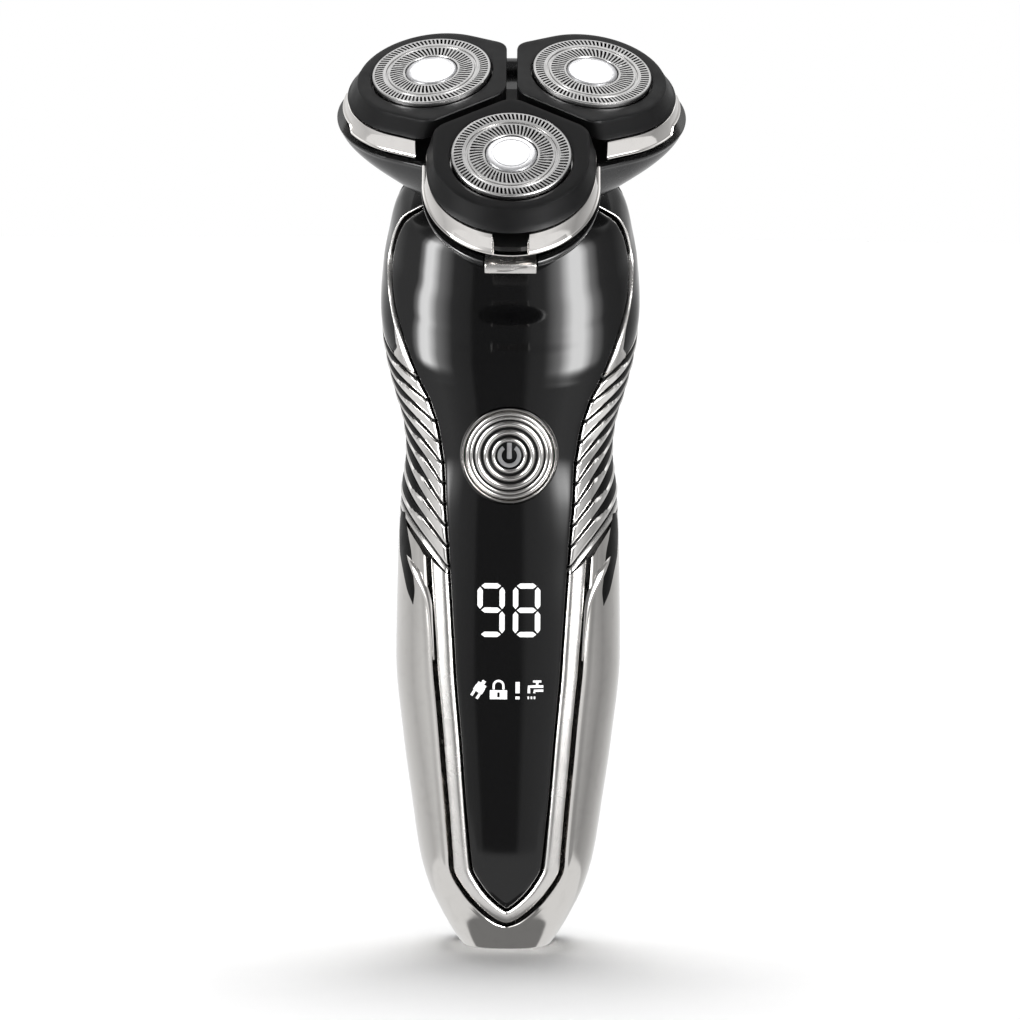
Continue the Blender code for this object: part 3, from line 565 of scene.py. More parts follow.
def brushed_steel():
    paint = Paint("brushed_steel", (0.6, 0.6, 0.605), 0.3, 1.0)
    grain = paint.noise(0.12, 3.0, stretch=(1, 1, 0.06))
    paint.rough(grain, 0.24, 0.4)
    paint.tint(paint.noise(2.0), (0.46, 0.46, 0.47), 0.45, 0.8)
    return paint.bump(grain, 0.003, 0.4).material


def satin_cap():
    paint = Paint("satin_cap", (0.46, 0.46, 0.47), 0.3, 0.2)
    rings = paint.noise(0.11, 2.0, "round", (1, 0.15, 1))
    paint.rough(rings, 0.26, 0.4)
    paint.tint(paint.noise(1.8, 2.0), (0.4, 0.4, 0.41), 0.5, 0.8)
    return paint.bump(rings, 0.0008, 0.3).material


def plastic(name, color, rough, other, size=0.3, relief=0.004, bits=3.0, shine=0.45):
    paint = Paint(name, color, rough, Specular_IOR_Level=shine)
    paint.rough(paint.noise(3.0), rough - 0.06, rough + 0.08)
    paint.tint(paint.noise(bits, 4.0), other, 0.45, 0.8)
    return paint.bump(paint.noise(size, 2.0), relief, 0.4).material


def board():
    paint = Paint("circuit_board", (0.01, 0.1, 0.04), 0.35)
    tracks = paint.add("ShaderNodeTexBrick")
    paint.link(paint.coords("object", (0.35, 0.35, 0.35)), tracks.inputs["Vector"])
    tracks.inputs["Color1"].default_value = (0, 0, 0, 1)
    tracks.inputs["Color2"].default_value = (0.4, 0.4, 0.4, 1)
    tracks.inputs["Mortar"].default_value = (1, 1, 1, 1)
    paint.tint(tracks.outputs["Color"], (0.03, 0.2, 0.08), 0.3, 0.9)
    return paint.bump(tracks.outputs["Color"], 0.03, 0.5).material


def lit_white():
    paint = Paint("lit_white", (0.9, 0.9, 0.9), 0.4)
    paint.shader.inputs["Emission Color"].default_value = (1.0, 1.0, 1.0, 1.0)
    paint.shader.inputs["Emission Strength"].default_value = 0.75
    paint.rough(paint.noise(0.6), 0.35, 0.5)
    return paint.material


CHROME = (0.80, 0.78, 0.755)
LOOKS = {
    "gloss_black": gloss_black(),
    "matte_black": matte_black(),
    "chrome": chrome("warm_chrome", CHROME, 0.07, 0.14),
    "grip_chrome": chrome("grip_chrome", (0.88, 0.865, 0.845), 0.06, 0.12, painted=True),
    "band_chrome": chrome("band_chrome", (0.93, 0.905, 0.88), 0.05, 0.1),
    "trim_silver": satin_trim(),
    "gunmetal": gunmetal(),
    "ring_steel": turned_steel(),
    "button_chrome": chrome("button_chrome", (0.74, 0.725, 0.71), 0.07, 0.13, painted=True),
    "steel": brushed_steel(),
    "satin_silver": satin_cap(),
    "white_plastic": plastic("white_plastic", (0.7, 0.7, 0.68), 0.4, (0.6, 0.6, 0.57)),
    "board_green": board(),
    "cell_blue": plastic("cell_sleeve", (0.02, 0.06, 0.22), 0.32, (0.03, 0.09, 0.3), 1.4, 0.01),
    # Black rubber; also the finish of the dark sheets of painted shade among the ribs and on the side.
    "rubber": plastic("black_rubber_and_shade", (0.005, 0.005, 0.005), 0.42, (0.008, 0.008, 0.008),
                      0.2, 0.006, shine=0.12),
    "lit_white": lit_white(),
}


# ---------------------------------------------------------------- the handle


# Half the seam between the panel and its neighbours.
SEAM_HALF = 0.2


def button_place():
    s, _ = surface_at(0.0, BUTTON_Z)
    front = body_point(s, 0.0)
    return Matrix.Translation((0, float(front[1]), BUTTON_Z)) @ Matrix.Rotation(math.pi / 2, 4, "X")


def front_panel():
    edge = panel_edge(-SEAM_HALF)
    start = SIDE_ROWS[0][0] + 0.55
    tip = start + (20.5 - start) * np.linspace(0, 1, 30) ** 1.7
    s = np.concatenate([tip, stretches((20.5, 112, 74), (112, TOP, 52))[1:]])[:, None]
    share = (rolled(47, (0.006, 0.016)) * 2 - 1)[None, :]
    theta = edge(s) * share
    width = HALF_WIDTH(s) * np.abs(np.sin(edge(s))) ** (2 / FRONT_FULLNESS)
    inside = (1 - np.abs(share)) * width
    lift = -0.35 * np.clip(1 - inside / 0.8, 0, 1) ** 2
    facet = np.clip((30 - s) / 12, 0, 1)
    lift = lift - 0.45 * facet * np.clip(1 - inside / 1.9, 0, 1)
    panel = skin("front_panel", s, theta, lift, "gloss_black", ["front_cover"])
    hole = BEZEL_RADIUS + 0.2
    cut_with(panel, lathe(((0, -12), (hole, -12), (hole, 8), (0, 8)), 96), button_place())


def dense(curve, steps):
    """A curve of (spine height, angle) pairs with steps times the points."""
    rows = [(i, *pair) for i, pair in enumerate(curve)]
    at = np.linspace(0, len(curve) - 1, (len(curve) - 1) * steps + 1)
    return np.stack([column(at) for column in smooth_table(rows)], axis=-1)


def round_tip(first, last, across, steps=9):
    """Grids of spine height and angle from the left top, round the tip, to the right top."""
    a, b = dense(first, steps), dense(last, steps)
    s = a[:, :1] + (b[:, :1] - a[:, :1]) * across[None, :]
    theta = a[:, 1:] + (b[:, 1:] - a[:, 1:]) * across[None, :]
    return np.concatenate([s[:0:-1], s]), np.concatenate([-theta[:0:-1], theta])


def side_curve(columns, distance):
    points = [(row[columns[0]], row[columns[1]]) for row in SIDE_ROWS]
    return [tuple(float(v) for v in surface_at(x, z)) for x, z in offset_curve(points, distance)]


# The lower shell's lift from the trim to the seam, as (share across, lift).
SHELL_LIP = ((0, -0.6), (0.004, 0.08), (0.03, 0.22), (0.055, 0.16), (0.09, 0.0), (0.98, 0.0), (1, -0.25))


def trim_and_shell():
    panel_out = side_curve((1, 0), SEAM_HALF)
    trim_in = side_curve((3, 2), -0.55)
    trim_out = side_curve((3, 2), 0.25)
    seam = [(row[4], min(math.radians(row[5]), SEAM - SEAM_GAP)) for row in SIDE_ROWS]
    across = rolled(13, (0.03, 0.08))
    s, theta = round_tip(panel_out, trim_in, across)
    lift = 0.5 * (1 - np.abs(2 * across - 1) ** 4) - 0.15
    skin("panel_trim_strip", s, theta, lift[None, :] + 0 * s, "trim_silver", ["panel_trim"])
    across = np.concatenate([[0.0, 0.004, 0.012, 0.03], np.linspace(0.05, 0.98, 42), [0.993, 1.0]])
    s, theta = round_tip(trim_out, seam, across)
    lift = np.interp(across, *zip(*SHELL_LIP))
    top = np.clip((s[:, :1] - 66) / 12, 0, 1) ** 2
    s = s + 10 * top * across * (1 - across)
    skin("lower_shell", s, theta, lift[None, :] + 0 * s, "chrome", ["chrome_shell"])
    lining_in, lining_out = side_curve((3, 2), -1.1), side_curve((3, 2), 0.8)
    s, theta = round_tip(lining_in, lining_out, np.linspace(0, 1, 5), 6)
    lining = shell(body_point(s, theta, -1.95), body_point(s, theta, -2.3))
    mesh_piece("groove_lining", lining, "rubber", "handle")


# Ridges beside the trim's upper end, as rows of x, z, width, height: the bright crest, and a dark patch of
# painted shade and dark reflection.
BRIGHT_CREST = ((19.9, 78.0, 0.1, 0.05), (18.9, 76.3, 1.0, 0.5), (17.6, 74.0, 1.7, 0.75),
                (16.3, 71.4, 1.6, 0.6), (15.5, 68.6, 1.2, 0.42), (15.0, 64.0, 0.7, 0.25),
                (14.5, 58.0, 0.3, 0.1))
SIDE_SHADE_PATCH = ((20.7, 86.0, 0.7, 0.1), (20.6, 82.0, 1.9, 0.1), (20.2, 78.5, 2.4, 0.1), (19.7, 75.0, 2.0, 0.1),
              (19.1, 71.5, 1.6, 0.08), (18.6, 68.4, 0.1, 0.03))


def crest(name, side, path, look, steps=7, sink=-0.35):
    """A tapered raised ridge along rows of x, z, width and height seen from the front."""
    at = np.linspace(0, len(path) - 1, (len(path) - 1) * steps + 1)
    rows = [(i, *row) for i, row in enumerate(path)]
    x, z, width, height = (column(at) for column in smooth_table(rows))
    along = np.stack([np.gradient(x), np.gradient(z)], -1)
    along /= np.linalg.norm(along, axis=-1, keepdims=True)
    share = np.linspace(-1, 1, 9)
    px = x[:, None] - along[:, 1:] * share[None, :] * width[:, None] / 2
    pz = z[:, None] + along[:, :1] * share[None, :] * width[:, None] / 2
    lift = height[:, None] * (1 - np.abs(share[None, :]) ** 1.6)
    s, theta = surface_at(px, pz)
    theta = theta * side
    mesh_piece(name, shell(body_point(s, theta, lift), body_point(s, theta, sink)), look, "handle")


RIB_RISE = 1.25


def swept(f):
    """The share of a rib's rise reached at a share f across the grip: straight as seen from the front."""
    return 1 - (1 - f) ** 2.2


def grip_point(z, f, edge):
    """Spine height and angle at a share f of the way from the panel edge at height z to the seam."""
    s0 = surface_at(PANEL_X(z), z)[0]
    t0 = edge(s0)
    s1 = z + RIB_RISE * RIB_REACH(z)
    return s0 + (s1 - s0) * swept(f), t0 + (SEAM - SEAM_GAP - t0) * f


# Height over a rib's pitch: a slow rise to the rim, then the step down into the groove, which is painted dark
# as shade.
RIB_SHARES = (0.0, 0.05, 0.1, 0.2, 0.32, 0.44, 0.56, 0.66, 0.75, 0.81, 0.84, 0.855, 0.87, 0.985)
RIB_LIFTS = (-0.16, -0.04, 0.08, 0.17, 0.25, 0.32, 0.38, 0.44, 0.5, 0.54, 0.46, 0.2, -0.18, -0.18)
GROOVE_START = 0.86
# The dark leaves of painted shade: where across the grip they begin and grow full, and how deep into the
# pitch they reach.
LEAF_INNER = 0.13
LEAF_FULL = 0.46
LEAF_DEPTH = 0.6


def leaf_start(f):
    """Where the dark leaf of painted shade begins within a rib's pitch, at a share f across the grip."""
    t = np.clip((f - LEAF_INNER) / (LEAF_FULL - LEAF_INNER), 0, 1)
    return 1.0 - LEAF_DEPTH * t * t * (3 - 2 * t)


def grip(name, side):
    edge = panel_edge(SEAM_HALF)
    z, phase, raised, dark = [GRIP_START], [-1.0], [0.0], [0.0]
    for rib in range(RIB_COUNT):
        for share, rise in zip(RIB_SHARES, RIB_LIFTS):
            z.append(RIB_FIRST_Z + (rib + share) * RIB_PITCH)
            phase.append(share)
            raised.append(rise)
            # Shade 1 in each groove and at a rib's start paints it dark: painted shade under the rib above.
            dark.append(1.0 if share > GROOVE_START or share == 0 else 0.0)
    z += [GRIP_END - 0.15, GRIP_END]
    phase += [-1.0, -1.0]
    raised += [0.0, -0.3]
    dark += [0.0, 0.0]
    z, phase, raised, dark = (np.array(v)[:, None] for v in (z, phase, raised, dark))
    f = np.concatenate([[0.0, 0.01, 0.025], np.linspace(0.05, 0.98, 34), [1.0]])[None, :]
    s, theta = grip_point(z, f, edge)
    fade = np.interp(f, (0, 0.02, 0.2, 0.8, 1.0), (0.35, 0.55, 1.0, 1.0, 0.5))
    # The chrome sinks where a dark leaf of painted shade lies over it.
    sunk = phase > leaf_start(f) - 0.02
    lift = np.where(sunk, -0.15, raised * fade)
    lift = lift - np.interp(f, (0, 0.01, 0.02, 0.98, 1), (0.3, 0.05, 0, 0, 0.2))
    skin("ribbed_grip_" + name, s, theta * side, lift, "grip_chrome", ["side_grip_" + name], dark + 0 * f)


def grip_shade_leaves(name, side):
    """Dark sheets just under each rib's lip, one leaf to a rib: painted shade under the overhang of the rib
    above.
    """
    edge = panel_edge(SEAM_HALF)
    parts = []
    f = LEAF_INNER + (0.985 - LEAF_INNER) * np.linspace(0, 1, 26)[None, :]
    for rib in range(RIB_COUNT):
        share = np.linspace(0, 1, 6)[:, None]
        begin = leaf_start(f)
        z = RIB_FIRST_Z + (rib + begin + (0.995 - begin) * share) * RIB_PITCH
        s, theta = grip_point(z, f, edge)
        lift = 0.02 + 0.1 * np.sin(np.pi * share) + 0 * f
        parts.append(shell(body_point(s, theta * side, lift), body_point(s, theta * side, -0.6)))
    mesh_piece(name, merged(*parts), "rubber", "handle")


def side_gap_shade(name, side):
    """A dark sheet sunk between the lowest rib and the lower shell: painted shade in the gap."""
    f = np.linspace(0.04, 0.985, 30)[None, :]
    s, theta = grip_point(GRIP_START + 0.8, f, panel_edge(SEAM_HALF))
    s = s - np.linspace(0, 7.0, 6)[:, None]
    recess = shell(body_point(s, theta * side, -0.75), body_point(s, theta * side, -1.2))
    mesh_piece("side_gap_shade_" + name, recess, "rubber", "handle")


def shoulder(name, side):
    """The dark outer side of the shoulder and the bright edge along the panel."""
    edge = panel_edge(SEAM_HALF)
    z0 = GRIP_END + 0.3
    s0 = float(surface_at(PANEL_X(z0), z0)[0])
    s1 = z0 + RIB_RISE * float(RIB_REACH(GRIP_END))
    along = np.linspace(0, 1, 60)[:, None]
    near, far = s0 + (TOP - s0) * along, s1 + (TOP - s1) * along
    strip = np.interp(along, (0, 0.12, 0.35, 0.7, 1), (0.3, 0.17, 0.1, 0.055, 0.04))
    f = rolled(25, (0.01, 0.03))[None, :]

    def patch(piece, low, high, lift, look):
        share = low + (high - low) * f
        s = near + (far - near) * swept(share)
        t0 = edge(near)
        theta = t0 + (SEAM - SEAM_GAP - t0) * share
        skin(piece, s, theta * side, lift, look, ["shoulder_trim_" + name])

    roll = np.interp(f, (0, 0.02, 0.98, 1), (-0.3, 0, 0, -0.3)) + 0 * near
    patch("shoulder_edge_" + name, 0.0, strip, roll + 0.3 * np.sin(np.pi * f), "trim_silver")
    patch("shoulder_side_" + name, strip + 0.004, 1.0, roll - 0.05, "gloss_black")


def back_place(x, y, z):
    return Matrix.Translation((x, y, z)) @ Matrix.Rotation(-math.pi / 2, 4, "X")


def back_surface_y(x, z):
    lean = math.radians(float(LEAN(z)))
    s = z - float(BACK_DEPTH(z)) * math.sin(lean)
    share = (abs(x) / float(HALF_WIDTH(s))) ** BACK_FULLNESS
    return float(SPINE_Y(s)) + float(BACK_DEPTH(s)) * (1 - share) ** (1 / BACK_FULLNESS) * math.cos(lean)


def back_cover():
    """The rear shell, with fine grip lines across the middle of the back."""
    s = stretches((0, 30, 26), (30, 110, 161), (110, TOP, 44))[:, None]
    share = rolled(49, (0.004, 0.012))[None, :]
    seam = SEAM + SEAM_GAP
    theta = seam + (TAU - 2 * seam) * share
    lift = np.interp(share, (0, 0.006, 0.994, 1), (-0.35, 0, 0, -0.35)) + 0 * s
    inside = np.clip((0.22 - np.abs(share - 0.5)) / 0.05, 0, 1) * np.clip((25 - np.abs(s - 66)) / 4, 0, 1)
    lift = lift - 0.35 * inside * (np.sin(s * TAU / 2.5) > 0.3)
    cover = skin("back_cover", s, theta, lift, "matte_black", ["rear_cover"])
    pocket = lathe(((0, -1.6), (2.6, -1.6), (2.6, 3), (0, 3)), 40)
    for x in (-6.0, 6.0):
        for z in (27.5, 93.5):
            cut_with(cover, pocket, back_place(x, back_surface_y(x, z), z))


# ---------------------------------------------------------------- the button and the display


# Rounded rings of the button: inner and outer radius, height.
BUTTON_RIDGES = ((2.65, 3.55, 0.4), (4.05, 5.1, 0.42), (5.6, 6.75, 0.42), (7.0, 7.7, 0.3), (7.75, 8.5, 0.3))


def power_button():
    place = button_place()
    # Shade 1 darkens the button's centre and, as painted shade, the bottoms of the grooves between the
    # ridges.
    profile, shade = [(0, 0.2), (2.55, 0.2)], [1, 1]
    for inner, outer, height in BUTTON_RIDGES:
        for share in np.linspace(0, 1, 9):
            rise = 0.12 + height * math.sin(math.pi * share) ** 0.7
            profile.append((inner + (outer - inner) * share, rise))
            shade.append(1 if share in (0, 1) else 0)
    profile += [(BUTTON_RADIUS, 0.05), (BUTTON_RADIUS, -3.0), (1.5, -3.0), (1.5, -4.9), (0, -4.9)]
    shade += [0] * 5
    shades = []
    for (radius, _), value in zip(profile, shade):
        shades += [value] * (1 if radius == 0 else 120)
    mesh_piece("button_cap", lathe(profile, 120), "button_chrome", "power_button", place, 60,
               ["power_button"], shades)
    mesh_piece("button_mark", symbol_mark(), "satin_silver", "power_button", place)
    ring = BEZEL_RADIUS - 0.05
    profile = ((8.85, -4.2), (10.4, -4.2), (10.4, -3.6), (ring, -3.6), (ring, 0.2), (ring - 0.06, 0.42),
               (9.2, 0.56), (9.05, 0.56), (8.92, 0.46), (8.85, 0.3))
    bezel = lathe(profile, 120, closed=True)
    mesh_piece("button_ring", bezel, "button_chrome", "handle", place, 30, ["button_bezel"],
               [0.0] * len(bezel[0]))


# Cross-section of the mark's broken ring: radius, height.
MARK_SECTION = ((1.5, 0.2), (1.55, 0.5), (1.9, 0.58), (2.25, 0.5), (2.3, 0.2))


def symbol_mark():
    """A broken ring with a bar across the break, standing on the button's dark centre."""
    gap = math.radians(36)
    turns = np.linspace(math.pi / 2 + gap, math.pi / 2 + TAU - gap, 49)
    sections = []
    for turn in turns:
        out = np.array([math.cos(turn), math.sin(turn)])
        sections.append([(*(out * radius), height) for radius, height in MARK_SECTION])
    ring = closed_bar(sections)
    bar = []
    for y in (-0.6, -0.5, 0.4, 1.4, 2.45, 2.55):
        half = 0.36 if y in (-0.6, 2.55) else 0.48
        section = ((-half, 0.2), (-half + 0.05, 0.56), (0, 0.62), (half - 0.05, 0.56), (half, 0.2))
        bar.append([(x, y, height) for x, height in section])
    return merged(ring, closed_bar(bar))


def closed_bar(sections):
    """Open cross-sections joined in order, closed underneath and at both ends."""
    count = len(sections[0])
    points = [p for section in sections for p in section]
    faces = grid_quads(len(sections), count, wrap=True)
    last = (len(sections) - 1) * count
    faces.append(tuple(range(count)))
    faces.append(tuple(range(last, last + count)))
    return points, faces


def stroke(path, width, pointed=False, spacing=0.6):
    """A thin lit line lying on the panel along a path of (x, z)."""
    fine = [path[0]]
    for (ax, az), (bx, bz) in zip(path, path[1:]):
        steps = max(1, int(math.dist((ax, az), (bx, bz)) / spacing))
        fine += [(ax + (bx - ax) * i / steps, az + (bz - az) * i / steps) for i in range(1, steps + 1)]
    line = np.array(fine)
    along = np.gradient(line, axis=0)
    along /= np.linalg.norm(along, axis=1, keepdims=True)
    half = np.full(len(line), width / 2)
    if pointed:
        start = np.linalg.norm(line - line[0], axis=1)
        end = np.linalg.norm(line - line[-1], axis=1)
        half = np.minimum(half, np.minimum(start, end) + 0.04)
    across = np.stack([-along[:, 1], along[:, 0]], -1)
    sides = []
    for share in (-1, 0, 1):
        at = line + across * (half * share)[:, None]
        sides.append(at)
    grid = np.stack(sides, axis=1)
    s, theta = surface_at(grid[..., 0], grid[..., 1])
    return shell(body_point(s, theta, 0.07), body_point(s, theta, -0.12))


def arc(cx, cz, radius, start, end, count=18):
    turns = np.radians(np.linspace(start, end, count))
    return [(cx + radius * math.cos(t), cz + radius * math.sin(t)) for t in turns]


SEGMENTS = {
    "9": "abcdfg",
    "8": "abcdefg",
}


def digit(kind, left, low, wide, high):
    """Lit bars of a seven-segment digit."""
    bar, nick = 1.02, 0.27
    right, top, middle = left + wide, low + high, low + high / 2
    x0, x1 = left + bar / 2, right - bar / 2
    z0, z1 = low + bar / 2, top - bar / 2
    runs = {
        "a": ((x0 + nick, z1), (x1 - nick, z1)),
        "b": ((x1, z1 - nick), (x1, middle + nick)),
        "c": ((x1, middle - nick), (x1, z0 + nick)),
        "d": ((x0 + nick, z0), (x1 - nick, z0)),
        "e": ((x0, middle - nick), (x0, z0 + nick)),
        "f": ((x0, z1 - nick), (x0, middle + nick)),
        "g": ((x0 + nick, middle), (x1 - nick, middle)),
    }
    return [stroke(runs[name], bar, pointed=True) for name in SEGMENTS[kind]]


DIGIT_LOW, DIGIT_WIDE, DIGIT_HIGH = 62.9, 5.3, 10.5
ICON_Z = 52.6
# Icon bars: width, then (x, height above the icons' middle) along the bar.
PLUG_CENTRE = -5.6
PLUG_TILT = math.radians(-32)
PLUG = (
    (0.7, (-5.6, 2.0), (-5.6, 1.2)),
    (0.8, (-6.5, 0.9), (-4.7, 0.9)),
    (1.2, (-6.6, 0.0), (-4.6, 0.0)),
    (0.5, (-6.2, -0.7), (-6.2, -1.8)),
    (0.5, (-5.0, -0.7), (-5.0, -1.8)),
)
LOCK = (
    (0.95, (-3.0, -0.15), (-3.0, -1.9)),
    (0.95, (-0.6, -0.15), (-0.6, -1.9)),
    (0.4, (-2.6, -0.35), (-1.0, -0.35)),
    (0.36, (-2.6, -1.72), (-1.0, -1.72)),
    (0.5, (-2.3, -0.5), (-2.3, -1.6)),
    (0.5, (-1.3, -0.5), (-1.3, -1.6)),
    (0.42, (-2.75, 0.0), *arc(-1.8, 0.75, 0.95, 180, 0, 14), (-0.85, 0.0)),
)
ALERT = (
    (0.8, (1.9, -0.7), (1.9, 1.5)),
    (0.8, (1.9, -1.9), (1.9, -1.35)),
)
TAP = (
    (0.5, (4.1, -0.7), (4.1, 0.6), (6.9, 0.6)),
    (0.45, (5.2, -0.7), (5.2, -0.2), (6.9, -0.2)),
    (0.4, (4.9, 1.6), (6.5, 1.6)),
    (0.45, (5.7, 0.8), (5.7, 1.5)),
    *((0.3, (x, -1.85), (x, -1.35)) for x in (4.0, 4.6, 5.2)),
)


def icon(bars, centre=0.0, tilt=0.0):
    """Lit bars of an icon, turned by tilt about a centre on the icons' middle line."""
    sin, cos = math.sin(tilt), math.cos(tilt)
    return [stroke([(centre + (x - centre) * cos - up * sin, ICON_Z + (x - centre) * sin + up * cos)
                    for x, up in path], width) for width, *path in bars]


def display():
    bars = []
    for kind, left in (("9", -6.0), ("8", 0.9)):
        bars += digit(kind, left, DIGIT_LOW, DIGIT_WIDE, DIGIT_HIGH)
    mesh_piece("display_digits", merged(*bars), "lit_white", "handle")
    icons = icon(PLUG, PLUG_CENTRE, PLUG_TILT) + icon(LOCK) + icon(ALERT) + icon(TAP)
    mesh_piece("display_icons", merged(*icons), "lit_white", "handle")


# ---------------------------------------------------------------- the head


def head_matrix():
    return Matrix.Translation(HEAD_CENTRE) @ Matrix.Rotation(HEAD_TILT, 4, "X")


def lobe_matrix(turn):
    out = Matrix.Translation((0, -LOBE_RADIUS, 0)) @ Matrix.Rotation(LOBE_TILT, 4, "X")
    return head_matrix() @ Matrix.Rotation(math.radians(turn), 4, "Z") @ out


def lobe_outline(level, inset=0.0, arc_steps=64):
    """Outline of a lobe at a (height, half width, reach), its two flat sides clear of the lobes beside it."""
    height, half, reach = level[0], level[1] - inset, level[2] - inset
    turns = np.linspace(math.pi, TAU, arc_steps + 1)
    points = np.stack([half * np.cos(turns), reach * np.sin(turns)], -1)
    axis = LOBE_RADIUS + height * math.tan(LOBE_TILT)
    clear = (VALLEY + inset) / math.cos(math.pi / 6)
    slope = math.tan(math.pi / 6)
    side = []
    for x, back in ((half, 0.8), (half - 0.9, 0.0), (1.2, 0.0)):
        side.append((x, axis - x * slope - clear - back))
    return np.array(points.tolist() + side + [(-x, y) for x, y in reversed(side)])


def polar(outline, count, soften=3):
    """The outline's radius at count even angles round the origin, its corners slightly rounded."""
    turns = np.arange(count) * TAU / count
    a, b = outline, np.roll(outline, -1, axis=0)
    out = np.stack([np.cos(turns), np.sin(turns)], -1)
    radius = np.zeros(count)
    for p, q in zip(a, b):
        edge = q - p
        cross = out[:, 0] * edge[1] - out[:, 1] * edge[0]
        safe = np.where(np.abs(cross) < 1e-9, 1e-9, cross)
        reach = (p[0] * edge[1] - p[1] * edge[0]) / safe
        share = (p[0] * out[:, 1] - p[1] * out[:, 0]) / safe
        hit = (share >= -1e-6) & (share <= 1 + 1e-6) & (reach > 0)
        radius = np.where(hit, np.maximum(radius, reach), radius)
    kernel = np.ones(soften) / soften
    padded = np.concatenate([radius[-soften:], radius, radius[:soften]])
    return turns, np.convolve(padded, kernel, "same")[soften:-soften]


def ring_of(turns, radius, height):
    radius, height = np.broadcast_arrays(np.asarray(radius, float), height)
    radius, height = np.broadcast_to(radius, turns.shape), np.broadcast_to(height, turns.shape)
    return np.stack([radius * np.cos(turns), radius * np.sin(turns), height], -1)


def between_levels(a, b, share):
    return tuple(p + (q - p) * share for p, q in zip(a, b))


def lobe_shell(side, turn):
    """The black head round one shaving ring: flat top, rounded crease, sloping side."""
    place = lobe_matrix(turn)
    count = 220
    profile = [(LOBE_BOTTOM, 0.25, -4.5), (LOBE_BOTTOM, 0.0, -4.3)]
    profile += [(between_levels(LOBE_BOTTOM, LOBE_EDGE, t), 0.0, None) for t in (0.1, 0.35, 0.65, 0.9)]
    profile += [(LOBE_EDGE, 0.0, -0.9), (LOBE_EDGE, 0.12, -0.68)]
    profile += [(LOBE_TOP, 0.1, -0.55), (LOBE_TOP, 0.5, -0.5), (LOBE_TOP, 1.2, -0.5)]
    rings = []
    for level, inset, height in profile:
        turns, radius = polar(lobe_outline(level, inset), count, 5)
        rings.append(ring_of(turns, radius, level[0] if height is None else height))
    inner = RING_RADIUS + 0.3
    outer_top = rings[-1]
    near = ring_of(turns, inner + 0.75, -0.5)
    for share in (0.35, 0.7):
        rings.append(outer_top + (near - outer_top) * share)
    rings.append(near)
    for out, height in ((0.45, -0.52), (0.12, -0.62), (0.0, -0.8), (0.0, -2.1)):
        rings.append(ring_of(turns, inner + out, height))
    turns, radius = polar(lobe_outline(LOBE_EDGE, 1.5), count, 5)
    rings.append(ring_of(turns, np.maximum(radius, inner + 0.3), -2.1))
    turns, radius = polar(lobe_outline(LOBE_BOTTOM, 1.5), count, 5)
    rings.append(ring_of(turns, radius, -4.5))
    mesh_piece("lobe_shell_" + side, closed_rings(rings), "matte_black", "lobe_" + side, place, 30,
               ["lobe_frame_" + side])


# Slots in a ring's outer and inner track, the filled share of a slot's step, and the foil's thickness.
OUTER_SLOTS, INNER_SLOTS = 84, 58
SLOT_SHARE = 0.57
FOIL = 0.22


def slotted(slots, inner, slot_inner, slot_outer, outer, dome, twist=0.0):
    """A thin annulus with radial slots right through it, as a closed mesh."""
    columns = slots * 2
    radii = [inner, slot_inner, (slot_inner + slot_outer) / 2, slot_outer, outer]
    mesh = bmesh.new()
    grid = []
    for radius in radii:
        row = []
        for j in range(columns):
            share = SLOT_SHARE if j % 2 else 0.0
            turn = TAU * (j // 2 + share) / slots + twist * (radius - inner)
            row.append(mesh.verts.new((radius * math.cos(turn), radius * math.sin(turn), dome(radius))))
        grid.append(row)
    for i in range(len(radii) - 1):
        for j in range(columns):
            if i in (1, 2) and j % 2 == 0:
                continue
            k = (j + 1) % columns
            mesh.faces.new((grid[i][j], grid[i][k], grid[i + 1][k], grid[i + 1][j]))
    bmesh.ops.recalc_face_normals(mesh, faces=mesh.faces)
    for face in mesh.faces:
        if face.normal.z < 0:
            face.normal_flip()
    bmesh.ops.solidify(mesh, geom=mesh.faces[:], thickness=FOIL)
    return taken_from(mesh)


# Cross-sections of a ring's solid parts, as (radius, height): between the tracks, the wall and the inner lip.
GROOVE = ((8.38, 0.1), (8.38, 0.36), (8.5, 0.37), (8.56, 0.24), (8.6, 0.08), (8.86, 0.08), (8.9, 0.24),
          (8.95, 0.37), (9.28, 0.38), (9.28, 0.1))
RING_WALL = ((11.28, 0.3), (11.45, 0.3), (11.58, 0.22), (RING_RADIUS, 0.05), (RING_RADIUS, -2.4),
             (12.2, -2.4), (12.2, -2.9), (10.9, -2.9), (11.28, -0.2))
LIP = ((5.15, -0.4), (5.15, 0.3), (5.22, 0.36), (5.34, 0.34), (5.34, -0.4))


